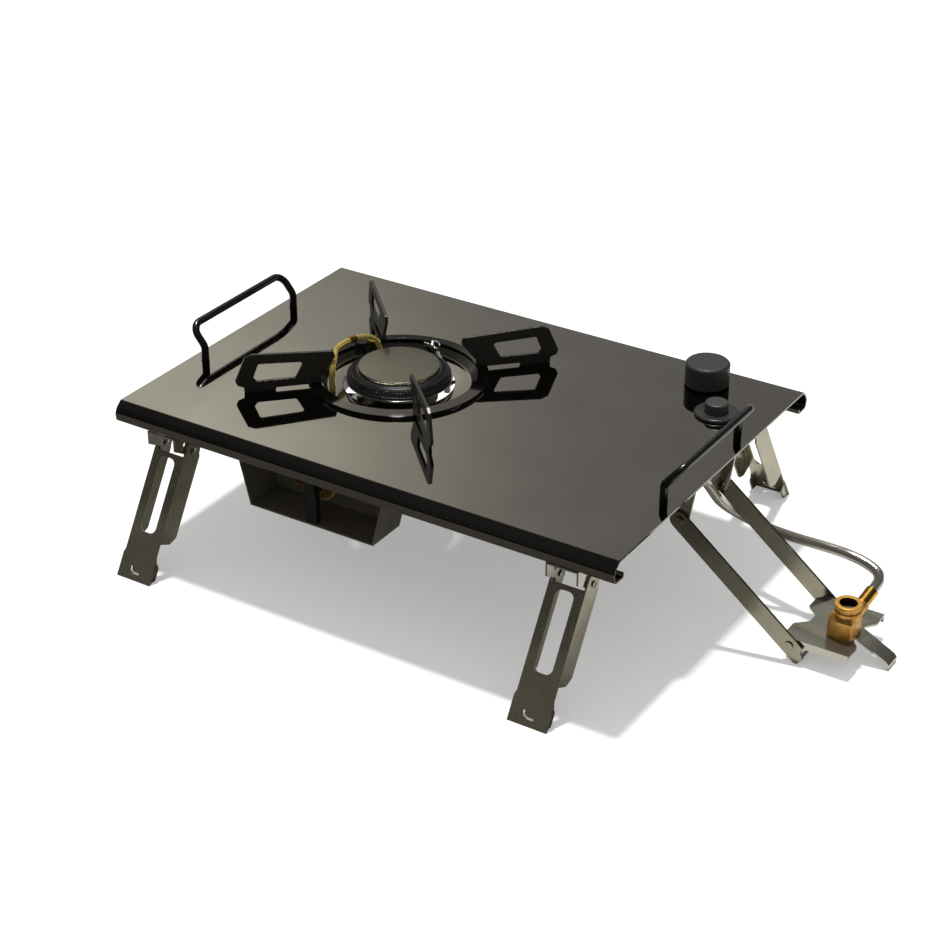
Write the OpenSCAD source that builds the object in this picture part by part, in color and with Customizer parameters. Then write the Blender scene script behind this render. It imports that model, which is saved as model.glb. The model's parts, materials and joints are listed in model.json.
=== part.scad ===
// Single-burner folding table stove with a fold-out stand for an upturned screw-on canister.
// X runs along the deck from left to right, Y from front to back, Z up, in millimetres.
// The origin is on the table, under the middle of the whole stove with its stand out.
// Modules draw in the deck's own frame, whose origin is the middle of the deck's top face.

/* [Deck] */
// Length of the deck, left to right
deck_len = 360; // [345:1:400]
// Depth of the deck's flat top, front to back
deck_depth = 240; // [232:1:260]
// Height of the deck's top above the table
deck_height = 101.5; // [99:0.5:106]
// Thickness of the deck sheet
deck_t = 1.2; // [0.8:0.1:1.4]
// How far the rolled rim stands out past the flat top
rim_out = 6.2; // [5:0.1:7]
// Drop of the rolled rim below the deck's top
rim_drop = 13.9; // [13:0.1:15]
// Depth of the flange turned in under the rim, from the edge of the flat top
rim_turn = 5.7; // [5:0.1:8]
// Height of the lip turned up at the end of that flange
rim_lip = 3.4; // [2.5:0.1:4]

/* [Burner] */
// Middle of the burner, measured from the middle of the deck
burner_x = -49; // [-60:1:-44]
// Radius of the drip bowl at the deck
bowl_r = 52; // [50:0.5:54]
// Radius of the drip bowl's flat shelf
bowl_floor_r = 46.5; // [45:0.5:48]
// Depth of the drip bowl's shelf below the deck's top
shelf_drop = 3.6; // [3:0.1:5]
// Radius of the opening in the shelf, round the burner
well_r = 36; // [35.5:0.1:37]
// Depth of the well that holds the burner, below the deck's top
bowl_depth = 14; // [12:0.5:16]
// Thickness of the drip bowl's sheet
bowl_t = 0.8; // [0.6:0.1:1]
// Width of the drip bowl's rim that lies on the deck
bowl_rim = 4.4; // [3:0.1:5]
// Radius of the burner head's ported skirt
head_r = 34; // [32:0.5:35]
// Height of the burner head above its seat
head_h = 6.8; // [6:0.1:8]
// Number of flame ports round the head
port_count = 40; // [24:1:48]
// Radius of the burner cap
cap_r = 26.4; // [25:0.1:27]
// Height of the burner cap's top above the deck
cap_top = 9; // [8.5:0.1:12]
// Radius of the burner's throat
throat_r = 15; // [13:0.5:17]
// Outer radius of the mixing tube
mixer_r = 9; // [8:0.5:10]
// Depth of the mixing tube's axis below the deck's top
mixer_drop = 34; // [32:0.5:38]

/* [Pan support] */
// Gap between the drip bowl's rim and the foot of the pan support's ring
ring_clear = 0.3; // [0.3:0.1:3]
// Height of the ring's outer edge
ring_h = 2.3; // [2.2:0.1:4]
// Width of the ring's band
ring_band = 7.4; // [6:0.1:8]
// Thickness of the ring and of the pan arms
arm_t = 2; // [1.6:0.1:2.5]
// Height of the pan arms above the deck
arm_h = 26.5; // [24:0.5:32]
// Radius at which the pan arms end
arm_reach = 105.5; // [103:0.5:112]

/* [Handles] */
// Radius of the handle wire
wire_r = 2.5; // [2:0.1:3]
// Distance between the legs of a handle, middle to middle
handle_span = 96; // [80:1:120]
// Height of the middle of the handle's bar above the deck
handle_h = 22.5; // [20:0.5:30]
// Distance of the handle's legs from the end of the deck
handle_inset = 11; // [9:0.5:13]
// How far the bar stands outward of its legs
handle_jog = 9.8; // [8:0.1:12]

/* [Controls] */
// Distance of the control knob from the end of the deck
knob_inset = 57.5; // [57:0.5:62]
// Distance of the control knob from the back edge of the flat top
knob_back = 22.5; // [22:0.5:28]
// Radius of the control knob
knob_r = 14.35; // [12:0.1:15]
// Height of the control knob's top above the deck
knob_top = 16; // [14:0.5:20]
// Radius of the valve spindle
spindle_r = 3; // [2.5:0.1:3.5]
// Distance of the igniter from the back edge of the flat top
button_back = 55.4; // [54:0.2:60]
// Radius of the igniter button
button_r = 7.35; // [6.5:0.1:8]
// Height of the igniter button's top above the deck
button_top = 8.5; // [8:0.1:11]
// Travel of the igniter button
button_travel = 5; // [3:0.1:5]
// Radius of the igniter's bezel
bezel_r = 14; // [12:0.1:15]

/* [Legs] */
// Distance of a leg's middle from the end of the deck
leg_inset = 34.5; // [33:0.5:37]
// Width of a leg
leg_w = 24.3; // [23:0.1:26]
// Thickness of the leg sheet
leg_t = 1.2; // [1:0.1:1.4]
// Lean of an unfolded leg from upright
leg_lean = 31.5; // [29:0.5:33]
// Distance of the leg pivot in from the edge of the flat top
pivot_in = 11.7; // [11:0.1:13]
// Drop of the leg pivot below the deck's top
pivot_drop = 29; // [28.5:0.1:30]
// Width of the window in a leg
window_w = 12; // [8:0.5:14]
// Height of the window in a leg
window_h = 49.3; // [40:0.5:51]
// Radius of the pivot rivets of the legs
leg_pin_r = 2; // [1.5:0.1:2.5]

/* [Air scoop] */
// Width of the air scoop's floor
scoop_floor = 92.5; // [85:0.5:100]
// Width of the air scoop at the deck
scoop_top = 122; // [112:1:126]
// Height of the air scoop
scoop_h = 60.5; // [56:0.5:64]
// Depth of the air scoop from front to back
scoop_depth = 29; // [27:0.5:32]
// Thickness of the air scoop's sheet
scoop_t = 1; // [0.8:0.1:1.2]

/* [Canister stand] */
// Length of a strut between its two rivets
strut_len = 98.9; // [96:0.1:106]
// Width of a strut
strut_w = 12; // [10:0.5:13]
// Thickness of a strut
strut_t = 1.6; // [1.2:0.1:2]
// Distance between the middles of the two struts
strut_gap = 56; // [52:1:58]
// Place of the stand's middle from front to back, from the deck's middle
stand_y = 8; // [7:0.5:9]
// Drop of the stand's pivot below the deck's top
stand_drop = 28.4; // [27.5:0.1:30]
// Distance of the stand's pivot in from the end of the deck
stand_inset = 14; // [13.5:0.1:15]
// Height of the strut's lower rivet above the table
lower_rivet_h = 11; // [10:0.1:12]
// Length of the canister bracket along X
bracket_len = 43; // [40:0.5:46]
// Thickness of the canister bracket's sheet
bracket_t = 1.5; // [1.2:0.1:1.8]
// Width of the tongue that the bracket stands on
tongue_w = 12; // [8:0.5:14]
// Length of the valve block along X
block_w = 16.6; // [15.5:0.1:17.5]
// Length of the valve block along Y
block_d = 18.4; // [17:0.1:19.5]
// Height of the valve block
block_h = 15.3; // [14:0.1:17]
// Outer radius of the threaded neck
neck_r = 7.25; // [6.9:0.05:7.8]
// Height of the threaded neck above the block
neck_h = 6.7; // [6:0.1:8]
// Radius of the threaded hole for the canister
thread_r = 5.55; // [5.3:0.05:5.8]
// Depth of the threaded hole
thread_depth = 9; // [8:0.1:10]

/* [Hose] */
// Radius of the fuel hose
hose_r = 3.25; // [3:0.05:3.4]
// Length of the ferrule that holds the hose to the valve block
ferrule_len = 18.5; // [16:0.5:19]
// Radius of that ferrule
ferrule_r = 4; // [3.8:0.1:4.5]

/* [Hidden] */
$fn = 64;

// Clearances: between faces that slide, round a pin that turns, and round a part that passes through.
slide_gap = 0.15;
pin_gap = 0.05;
pass_gap = 0.3;
// How far a cut runs past the face it leaves.
past = 1;
// Side of the blocks that trim pieces at the table.
trim_size = 900;

// Deck and its rim.
half_len = deck_len / 2;
half_depth = deck_depth / 2;
rim_nose_z = -7.2;
rim_shoulder = 3.9;
rim_under_in = 0.6;
opening_r = bowl_r + bowl_t + pass_gap;
deck_under = -deck_t;
rim_under = -rim_drop;

// Burner.
bowl_rim_r = bowl_r + bowl_rim + bowl_t;
bowl_hole_r = throat_r + pass_gap;
// The well is cut into three straps that hang from the shelf and hold the burner's flange.
strap_turns = [-140, -20, 100];
strap_half = 13;
window_step = (120 - 2 * strap_half) / 8;
well_floor_r = 25;
base_dish_r = 31;
base_seat_z = 0;
rim_t = 0.6;
head_seat_z = base_seat_z + rim_t;
head_top = head_seat_z + head_h - rim_t;
head_wall = 3;
cap_edge = 1.2;
cap_plug_h = 1.2;
port_w = 1;
base_flange_r = 21;
base_flange_t = 2;
base_wall = 3;
base_bottom = -mixer_drop - mixer_r - base_wall;
socket_len = 27;
mixer_wall = 1.5;
mixer_in = 10;
mixer_mouth_r = 13;
mixer_mouth_len = 8;
jet_in = 3;
jet_size = 8;
jet_r = 2;
jet_post = 4;

// Vaporiser: a loop of tube that stands in the bowl beside the flame and passes down through its floor.
vapor_r = 1.8;
vapor_front = [-30, -31.5];
vapor_back = [-33, 26.5];
vapor_low = -19;
vapor_points = [
  [-30, -31.5, 6], [-30, -30.8, 11.6], [-31.2, -26.6, 15.4], [-35.8, -20, 15.6],
  [-40, -12, 14.8], [-41.8, -3, 14], [-41.6, 6, 13.2], [-39.6, 14, 12.4],
  [-37, 20, 10.6], [-34.2, 24.6, 6.5], [-33.1, 26.3, 0]
];
union_r = 3;
union_low = 4.5;
union_h = 4;
pipe_r = 2;
elbow_r = 3.2;
elbow_h = 5;

// Igniter electrode beside the burner head.
spark_at = [12, 38];
spark_body_r = 2.2;
spark_body_top = 1.5;
spark_body_low = -24;
spark_r = 0.9;

// Pan support.
ring_foot = 1.2;
ring_r = bowl_rim_r + ring_clear + ring_foot;
ring_slope = 0.9;
ring_t = 1.1;
ring_top_r = ring_r - ring_slope;
ring_in_r = ring_top_r - ring_band;
ring_lip = 1.6;
ring_rise = 0.8;
ring_in_z = ring_h + ring_rise;
foot_in_r = arm_reach - 25.5;
foot_out_r = arm_reach - 5.5;
arm_inner_r = 42;
foot_lift = 2;

// Handles.
handle_x = half_len - handle_inset;
bar_x = handle_x + handle_jog;
jog_z = 10.5;
handle_leg_low = -6;
leg_bend_r = 6;
bar_bend_r = 8;
nut_r = 4.8;
nut_h = 3.6;

// Gas valve and knob.
knob_x = half_len - knob_inset;
knob_y = half_depth - knob_back;
valve_r = 8.5;
valve_low = -24;
valve_neck_r = 5;
valve_neck_top = 4.5;
inlet_z = -15;
inlet_r = 4.5;
inlet_len = 13;
outlet_r = 3.5;
outlet_len = 12.5;
valve_nut_r = 8;
valve_nut_h = 3;
spindle_low = -12;
knob_under = 1;
knob_hollow_r = 10.5;
knob_hollow_top = 7;
knob_chamfer = 1.2;
spindle_top = 13;
flat_x = 2.2;

// Igniter: it stands on the line of the back right leg, so that its body fits inside the folded leg.
leg_x = half_len - leg_inset;
button_x = leg_x + 0.5;
button_y = half_depth - button_back;
bezel_h = 2;
bezel_neck_r = button_r + 1.25;
bezel_low = -8;
button_low = -2;
stem_r = 2.8;
stem_low = -15;
piezo_r = 7;
piezo_low = -32;
piezo_flange = 2;

// Legs: each is drawn in its own frame, with the pivot at the origin and the leg hanging down.
web_out = 7.1;
web_top = 4.9;
flange_in = 8.4;
flange_low = 62.4;
foot_top = 70.9;
foot_extra = 1;
tab_in = 0.8;
leg_reach = 96;
window_top = web_top + 3.3;
window_corner = 4;
slot_at = 83.5;
ear_out = leg_w / 2 - leg_t - slide_gap;
ear_t = 1.2;
ear_r = 6;
ear_front = -4;
ear_back = 20;
rivet_head_t = 0.9;
leg_head_r = 3.3;
small_rivet_r = 1.5;
small_head_r = 2.6;
small_head_t = 0.8;
small_rivet_y = 1;
small_rivet_x = 6;
flange_rise = rim_under_in * (rim_turn + small_head_r) / (rim_turn + rim_out) + pin_gap;

// Air scoop.
scoop_in = 20;
scoop_front = scoop_in - half_depth;
scoop_back = scoop_front + scoop_depth;
mixer_front = scoop_front + mixer_in;
jet_y = scoop_front + jet_in;
scoop_flange = 8;
scoop_rivet_r = 1.5;
stud_in = deck_t / 2;
feed_hole = [-15, -38];
feed_hole_r = 2.6;

// Canister stand.
stand_x = half_len - stand_inset;
stand_angle = asin((deck_height - lower_rivet_h - stand_drop) / strut_len);
strut_pin_r = 2.5;
strut_head_r = 2.9;
lower_x = stand_x + strut_len * cos(stand_angle);
lower_z = lower_rivet_h - deck_height;
foot_tab_len = 13;
foot_tab_at = 10;
foot_tab_top = -2;
hinge_t = 1.5;
hinge_out = strut_gap / 2 - strut_t / 2 - slide_gap;
hinge_plate_half = 10;
bracket_top = lower_z + strut_head_r + 0.1 + bracket_t;
bracket_left = lower_x - 5.5;
bracket_right = bracket_left + bracket_len;
bracket_half = hinge_out;
bracket_side_h = 5;
bracket_ear_r = 5;
waist_left = 7.5;
waist_right = 5;
tongue_end = bracket_right + 17.5;
tongue_bend = bracket_right - waist_right + 1;
tongue_lip_z = 3.5;
block_x = bracket_right - 11.8;
block_y = stand_y - 5;
block_side = 6.7;
block_front = 9.4;
shoulder_h = 3.2;
shoulder_shrink = 0.76;
block_top = bracket_top + block_h;
neck_top = block_top + neck_h;
ferrule_lean = 61;
ferrule_swing = 14;
ferrule_seat = 6;
ferrule_foot = [block_x + 2.5, block_y + 5, block_top - 2.5];
ferrule_boss = 8;
seal_in_r = 2.2;
seal_out_r = thread_r - 1.2;
pin_len = 5;
seal_h = 1.2;
canister_pin_r = 1;

// The middle of the whole stove, from its left handle to the tip of the tongue.
home_x = ((bar_x + wire_r) - tongue_end) / 2;

// Points of the fuel hose, from the ferrule on the valve block to the nut at the gas valve.
hose_points = [
  [276.5, 28.4, -60.2], [274.8, 31.3, -57.3], [270.4, 33.2, -55.4], [263, 34.8, -53.9], [254, 36, -53.2],
  [247, 37, -53.3], [234, 38, -53.8], [220, 40, -55.3], [208, 42.8, -56.8], [196.5, 45.6, -58],
  [187, 47.8, -58.3], [179.4, 48.6, -57.2], [173.2, 47.2, -54.6], [169, 43.6, -50.6], [166.6, 39.2, -46],
  [165.4, 34.6, -41], [165, 30, -35.6], [164.8, 25.4, -30], [164.6, 21, -24.8], [163.8, 16.8, -20],
  [160.6, 13.2, -16.2], [155, 11.6, -13.8], [147.5, 12.6, -12.6], [137, 19, -12.5], [128, 31, -12.5],
  [123.5, 46, -13.5]
];
hose_sides = 10;
hose_nut_len = 8;
hose_nut_r = 5.2;

// ---- Helpers ----

function unit(v) = v / norm(v);
function left_of(v) = [-v.y, v.x];

// A corner of a path at b, rounded with radius r in n steps; it works in two and in three dimensions.
function corner(a, b, c, r, n = 6) =
  let (u = unit(a - b), v = unit(c - b), half = acos(u * v) / 2)
  let (start = b + u * r / tan(half), middle = b + unit(u + v) * r / sin(half))
  let (arm = unit(start - middle), sweep = 180 - 2 * half)
  [for (i = [0:n]) middle + r * (cos(sweep * i / n) * arm - sin(sweep * i / n) * u)];

// A closed outline with every corner rounded; r is one radius, or one for each corner.
function rounded(pts, r, n = 4) = [
  for (i = [0:len(pts) - 1])
    let (size = is_list(r) ? r[i] : r, last = pts[(i + len(pts) - 1) % len(pts)])
    each (size > 0 ? corner(last, pts[i], pts[(i + 1) % len(pts)], size, n) : [pts[i]])
];

// An open path with its inner corners rounded, one radius for each of them.
function bent(pts, radii, n = 6) = concat(
  [pts[0]],
  [for (i = [1:len(pts) - 2]) each corner(pts[i - 1], pts[i], pts[i + 1], radii[i - 1], n)],
  [pts[len(pts) - 1]]
);

// The outline of a sheet of thickness t that lies on the right of a path.
function mitre(a, b, c, t) =
  let (n1 = left_of(unit(b - a)), n2 = left_of(unit(c - b)), m = unit(n1 + n2))
  b - m * t / (m * n1);
function sheet_outline(path, t) =
  let (last = len(path) - 1)
  concat(path, [
    for (i = [last:-1:0])
      i == 0 ? path[0] - left_of(unit(path[1] - path[0])) * t
      : i == last ? path[last] - left_of(unit(path[last] - path[last - 1])) * t
      : mitre(path[i - 1], path[i], path[i + 1], t)
  ]);

// A smooth curve through points, with n steps between each two.
function pull(a, b, c, d, s) =
  0.5 * (2 * b + (c - a) * s + (2 * a - 5 * b + 4 * c - d) * s * s
  + (3 * b - a - 3 * c + d) * s * s * s);
function smooth(p, n) =
  let (last = len(p) - 1)
  concat([
    for (i = [0:last - 1])
      for (k = [0:n - 1]) pull(p[max(i - 1, 0)], p[i], p[i + 1], p[min(i + 2, last)], k / n)
  ], [p[last]]);

// The frame of each ring of a swept tube: the direction of travel, and a side carried along it.
function travel(p) = [
  for (i = [0:len(p) - 1]) unit(p[min(i + 1, len(p) - 1)] - p[max(i - 1, 0)])
];
function square_to(v, t) = unit(v - (v * t) * t);
function sides_of(t) = [
  for (i = 0, s = square_to([0.31, 0.52, 0.79], t[0]); i < len(t);
    i = i + 1, s = i < len(t) ? square_to(s, t[i]) : s) s
];

// A round tube or wire of radius r, swept along a path.
module swept(path, r, n = 12) {
  t = travel(path);
  s = sides_of(t);
  last = len(path) - 1;
  points = [
    for (i = [0:last]) for (k = [0:n - 1])
      path[i] + r * (cos(360 * k / n) * s[i] + sin(360 * k / n) * cross(t[i], s[i]))
  ];
  walls = [
    for (i = [0:last - 1]) for (k = [0:n - 1])
      let (a = i * n + k, b = i * n + (k + 1) % n)
      each [[a, a + n, b + n], [a, b + n, b]]
  ];
  ends = [[for (k = [0:n - 1]) k], [for (k = [n - 1:-1:0]) last * n + k]];
  polyhedron(points = points, faces = concat(walls, ends));
}

module home() {
  translate([home_x, 0, deck_height]) children();
}

// An outline in the Y-Z plane, made a plate of thickness t from x.
module side_plate(x, t) {
  translate([x, 0, 0]) rotate([90, 0, 90]) linear_extrude(t) children();
}

// An outline in the X-Z plane, made a plate of thickness t whose front is at y.
module front_plate(y, t) {
  translate([0, y + t, 0]) rotate([90, 0, 0]) linear_extrude(t) children();
}

// A cylinder along X or along Y.
module rod_x(x, y, z, r, h) {
  translate([x, y, z]) rotate([0, 90, 0]) cylinder(r = r, h = h);
}
module rod_y(x, y, z, r, h) {
  translate([x, y + h, z]) rotate([90, 0, 0]) cylinder(r = r, h = h);
}

module at_burner() {
  translate([burner_x, 0, 0]) children();
}

// Everything below the table top, to trim feet flush with it.
module below_table() {
  translate([-trim_size / 2, -trim_size / 2, -deck_height - trim_size]) cube(trim_size);
}

// ---- Deck ----

function front_rim() = [
  [rim_turn - half_depth, rim_under + rim_lip],
  [rim_turn - half_depth, rim_under],
  [rim_under_in - rim_out - half_depth, rim_under + rim_under_in],
  [-rim_out - half_depth, rim_nose_z],
  [-rim_shoulder - half_depth, -rim_shoulder],
  [-half_depth, 0]
];
function deck_section() =
  let (f = front_rim(), last = len(f) - 1)
  concat(f, [for (i = [last:-1:0]) [-f[i].x, f[i].y]]);

module deck_holes() {
  at_burner() translate([0, 0, -deck_t - past]) cylinder(r = opening_r, h = deck_t + 2 * past, $fn = 128);
  translate([knob_x, knob_y, -deck_t - past]) cylinder(r = valve_neck_r + pass_gap, h = deck_t + 2 * past);
  translate([button_x, button_y, -deck_t - past])
    cylinder(r = bezel_neck_r + pass_gap, h = deck_t + 2 * past);
  for (sx = [-1, 1]) for (sy = [-1, 1])
    translate([sx * handle_x, sy * handle_span / 2, -deck_t - past])
      cylinder(r = wire_r + pass_gap, h = deck_t + 2 * past);
  scoop_rivet_places() translate([0, 0, -deck_t - past])
    cylinder(r = scoop_rivet_r + pin_gap, h = past + stud_in);
  leg_rivet_places() translate([0, 0, rim_under - past])
    cylinder(r = small_rivet_r + pin_gap, h = deck_t + 2 * past);
}

module top_plate() {
  color("#6b6457") home() difference() {
    side_plate(-half_len, deck_len) polygon(sheet_outline(deck_section(), deck_t));
    deck_holes();
  }
}

// ---- Burner ----

// One of the three openings between the well's straps.
module well_window() {
  translate([0, 0, -bowl_depth - past]) linear_extrude(bowl_depth - shelf_drop - bowl_t + past)
    difference() {
      polygon(concat([[0, 0]], [for (a = [strap_half:window_step:120 - strap_half])
        2 * well_r * [cos(a), sin(a)]]));
      circle(r = well_floor_r);
    }
}

module drip_bowl() {
  color("#8d8a84") home() at_burner() difference() {
    rotate_extrude($fn = 128) polygon([
      [bowl_rim_r, 0], [bowl_rim_r, bowl_t], [bowl_r, bowl_t], [bowl_floor_r, -shelf_drop],
      [well_r, -shelf_drop], [well_r, bowl_t - bowl_depth], [bowl_hole_r, bowl_t - bowl_depth],
      [bowl_hole_r, -bowl_depth], [well_r + bowl_t, -bowl_depth],
      [well_r + bowl_t, -shelf_drop - bowl_t], [bowl_floor_r + bowl_t, -shelf_drop - bowl_t],
      [bowl_r + bowl_t, 0]
    ]);
    for (p = [vapor_front, vapor_back]) translate([p.x, p.y, -shelf_drop - bowl_t - past])
      cylinder(r = vapor_r + pass_gap, h = bowl_t + 2 * past);
    translate([spark_at.x, spark_at.y, -shelf_drop - bowl_t - past])
      cylinder(r = spark_body_r + pass_gap, h = bowl_t + 2 * past);
    for (turn = strap_turns) rotate([0, 0, turn]) well_window();
  }
}

module burner_base() {
  color("#4a4743") home() at_burner() difference() {
    union() {
      rotate_extrude() polygon([
        [0, base_bottom], [throat_r - 2, base_bottom], [throat_r, base_bottom + 2],
        [throat_r, -bowl_depth - base_flange_t - 2], [base_flange_r, -bowl_depth - base_flange_t],
        [base_flange_r, -bowl_depth], [throat_r, -bowl_depth], [throat_r, -11],
        [base_dish_r, base_seat_z - 3], [base_dish_r, base_seat_z], [0, base_seat_z]
      ]);
      rod_y(0, -socket_len, -mixer_drop, mixer_r + base_wall, socket_len);
    }
    rotate_extrude() polygon([
      [0, -mixer_drop], [throat_r - base_wall, -mixer_drop], [throat_r - base_wall, -10],
      [base_dish_r - 2, -3], [base_dish_r - 2, base_seat_z + past], [0, base_seat_z + past]
    ]);
    rod_y(0, -socket_len - past, -mixer_drop, mixer_r + pin_gap, socket_len - throat_r + base_wall + past);
    rod_y(0, -throat_r + base_wall - past, -mixer_drop, mixer_r - mixer_wall, throat_r);
  }
}

module burner_rim() {
  color("#c9c7c2") home() at_burner() rotate_extrude($fn = 128)
    translate([base_dish_r - 3, base_seat_z]) square([head_r + 0.8 - base_dish_r + 3, rim_t]);
}

module burner_head() {
  top_r = cap_r + 1;
  color("#1b1a19") home() at_burner() difference() {
    rotate_extrude($fn = 128) polygon([
      [head_r - head_wall, head_seat_z], [head_r, head_seat_z], [head_r - 0.6, head_seat_z + 1.6],
      [top_r, head_top], [cap_r - 3.4, head_top], [cap_r - 3.4, head_top - 1.6]
    ]);
    for (i = [0:port_count - 1]) rotate([0, 0, 360 * i / port_count])
      translate([cap_r - 1, -port_w / 2, head_seat_z + 2.4]) cube([head_r, port_w, 1.4]);
  }
}

module burner_cap() {
  color("#3d3b37") home() at_burner() rotate_extrude($fn = 128) polygon([
    [0, head_top - cap_plug_h], [cap_r - 3.8, head_top - cap_plug_h], [cap_r - 3.8, head_top],
    [cap_r, head_top], [cap_r, cap_top - cap_edge + 0.4], [cap_r - cap_edge, cap_top], [0, cap_top]
  ]);
}

module mixing_tube() {
  length = base_wall - throat_r - mixer_front;
  color("#9a7a4e") home() at_burner() translate([0, mixer_front, -mixer_drop]) rotate([-90, 0, 0])
    rotate_extrude() polygon([
      [mixer_mouth_r, 0], [mixer_r, mixer_mouth_len], [mixer_r, length],
      [mixer_r - mixer_wall, length], [mixer_r - mixer_wall, mixer_mouth_len + 1],
      [mixer_mouth_r - mixer_wall, 0]
    ]);
}

module jet_holder() {
  color("#b9904c") home() at_burner() {
    translate([-jet_size / 2, jet_y - jet_size / 2, -mixer_drop - jet_size / 2]) cube(jet_size);
    rod_y(0, jet_y + jet_size / 2, -mixer_drop, jet_r, jet_post);
    translate([-jet_size / 2, jet_y - jet_post / 2, scoop_t - scoop_h])
      cube([jet_size, jet_post, scoop_h - scoop_t - mixer_drop - jet_size / 2]);
  }
}

// The pipe that brings vaporised gas from the loop, through the back of the scoop, to the jet.
module jet_pipe() {
  path = bent([
    [vapor_front.x, vapor_front.y, vapor_low - elbow_h - pin_gap],
    [vapor_front.x, vapor_front.y, vapor_low - elbow_h - 4], [vapor_front.x, vapor_front.y - 8, -33],
    [feed_hole.x - 2, scoop_back + 11, feed_hole.y], [feed_hole.x, scoop_back - 4, feed_hole.y],
    [feed_hole.x, jet_y, -mixer_drop], [-jet_size / 2, jet_y, -mixer_drop]
  ], [3, 3, 8, 4, 6]);
  color("#a8813f") home() at_burner() swept(path, pipe_r, 10);
}

module vaporiser_tube() {
  path = concat(
    [[vapor_front.x, vapor_front.y, vapor_low]],
    smooth(vapor_points, 3),
    [[vapor_back.x, vapor_back.y, -4], [vapor_back.x, vapor_back.y, vapor_low]]
  );
  color("#cfae4a") home() at_burner() swept(path, vapor_r, 10);
}

module vaporiser_fittings() {
  color("#d9bd5c") home() at_burner() {
    difference() {
      translate([vapor_front.x, vapor_front.y, union_low]) rotate([0, 0, 30])
        cylinder(r = union_r, h = union_h, $fn = 6);
      translate([vapor_front.x, vapor_front.y, union_low - past])
        cylinder(r = vapor_r + pin_gap, h = union_h + 2 * past);
    }
    for (p = [vapor_front, vapor_back]) translate([p.x, p.y, vapor_low - elbow_h])
      cylinder(r = elbow_r, h = elbow_h);
  }
}

// The pipe that brings liquid fuel from the gas valve to the vaporiser.
module supply_pipe() {
  path = bent([
    [knob_x - outlet_len, knob_y, inlet_z], [knob_x - 2.6 * outlet_len, knob_y, inlet_z],
    [knob_x - 6.6 * outlet_len, knob_y - 2.2 * outlet_len, inlet_z + 5],
    [burner_x + head_r - bowl_depth, opening_r + 9, -bowl_depth + 2],
    [burner_x + vapor_back.x + 3, vapor_back.y + 20, vapor_low - elbow_h / 2],
    [burner_x + vapor_back.x, vapor_back.y + elbow_r + 5, vapor_low - elbow_h / 2],
    [burner_x + vapor_back.x, vapor_back.y + elbow_r + slide_gap, vapor_low - elbow_h / 2]
  ], [12, 14, 14, 8, 2]);
  color("#a8813f") home() swept(path, pipe_r, 10);
}

module electrode_insulator() {
  color("#e6e2d8") home() at_burner() translate([spark_at.x, spark_at.y, spark_body_low])
    cylinder(r = spark_body_r, h = spark_body_top - spark_body_low);
}

module igniter_electrode() {
  path = bent([
    [spark_at.x, spark_at.y, spark_body_top], [spark_at.x, spark_at.y, 4.5],
    [spark_at.x - 6, spark_at.y - 2.5, 8]
  ], [2]);
  color("#d8d6d0") home() at_burner() swept(path, spark_r, 8);
}

module igniter_lead() {
  path = bent([
    [button_x, button_y - piezo_r - pass_gap, -14], [button_x, button_y - piezo_r - 3.3, -14],
    [button_x - 3, button_y - 2 * piezo_r + 0.4, -5],
    [leg_x / 2, button_y - 2 * piezo_r - 0.6, -4],
    [burner_x + spark_at.x + 22, spark_at.y + 24.5, spark_body_low + 7],
    [burner_x + spark_at.x, spark_at.y + spark_body_r + 5, spark_body_low + 4],
    [burner_x + spark_at.x, spark_at.y + spark_body_r + pass_gap, spark_body_low + 4]
  ], [1, 3, 14, 8, 2]);
  color("#8c2f22") home() swept(path, 1.2, 8);
}

// ---- Pan support ----

module trivet_ring() {
  color("#1f1e1c") home() at_burner() rotate_extrude($fn = 128) polygon([
    [ring_r, 0], [ring_top_r, ring_h], [ring_in_r, ring_in_z], [ring_in_r, ring_in_z - ring_lip],
    [ring_in_r + ring_t, ring_in_z - ring_lip],
    [ring_in_r + ring_t, ring_in_z - ring_t - ring_rise * ring_t / ring_band],
    [ring_r - ring_foot, ring_h - ring_t], [ring_r - ring_foot, 0]
  ]);
}

function arm_outline() = [
  [arm_inner_r, arm_h - 3], [arm_reach - 11.5, arm_h], [arm_reach - 6.5, arm_h - 2],
  [arm_reach, 8.5], [arm_reach - 1.5, 5.5], [foot_out_r, 4], [foot_out_r, 0], [foot_in_r, 0],
  [foot_in_r - 0.5, foot_lift], [ring_r - ring_slope * foot_lift / ring_h, foot_lift],
  [ring_top_r, ring_h], [ring_in_r, ring_in_z], [ring_in_r + 0.4, ring_in_z + 3.6],
  [arm_inner_r - 1, arm_h - 7]
];
function arm_window() = [
  [arm_reach - 44, 18], [arm_reach - 15, 19.5], [arm_reach - 11.5, 10], [arm_reach - 13.5, 7.5],
  [arm_reach - 38.5, 7.5]
];

module pan_arm(angle) {
  color("#242220") home() at_burner() rotate([0, 0, angle]) translate([0, arm_t / 2, 0])
    rotate([90, 0, 0]) linear_extrude(arm_t) difference() {
      polygon(rounded(arm_outline(), [1.2, 2, 1.5, 2, 1.2, 1, 1, 1.2, 0, 0, 0, 0, 0, 1.5]));
      polygon(rounded(arm_window(), 1.5));
    }
}
module pan_arm_front_right() pan_arm(-45);
module pan_arm_back_right() pan_arm(45);
module pan_arm_back_left() pan_arm(135);
module pan_arm_front_left() pan_arm(-135);

// ---- Handles ----

module handle(side) {
  y = handle_span / 2;
  path = bent([
    [side * handle_x, -y, handle_leg_low], [side * handle_x, -y, jog_z], [side * bar_x, -y, handle_h],
    [side * bar_x, y, handle_h], [side * handle_x, y, jog_z], [side * handle_x, y, handle_leg_low]
  ], [leg_bend_r, bar_bend_r, bar_bend_r, leg_bend_r]);
  color("#171615") home() swept(path, wire_r, 12);
}
module handle_left() handle(-1);
module handle_right() handle(1);

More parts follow.
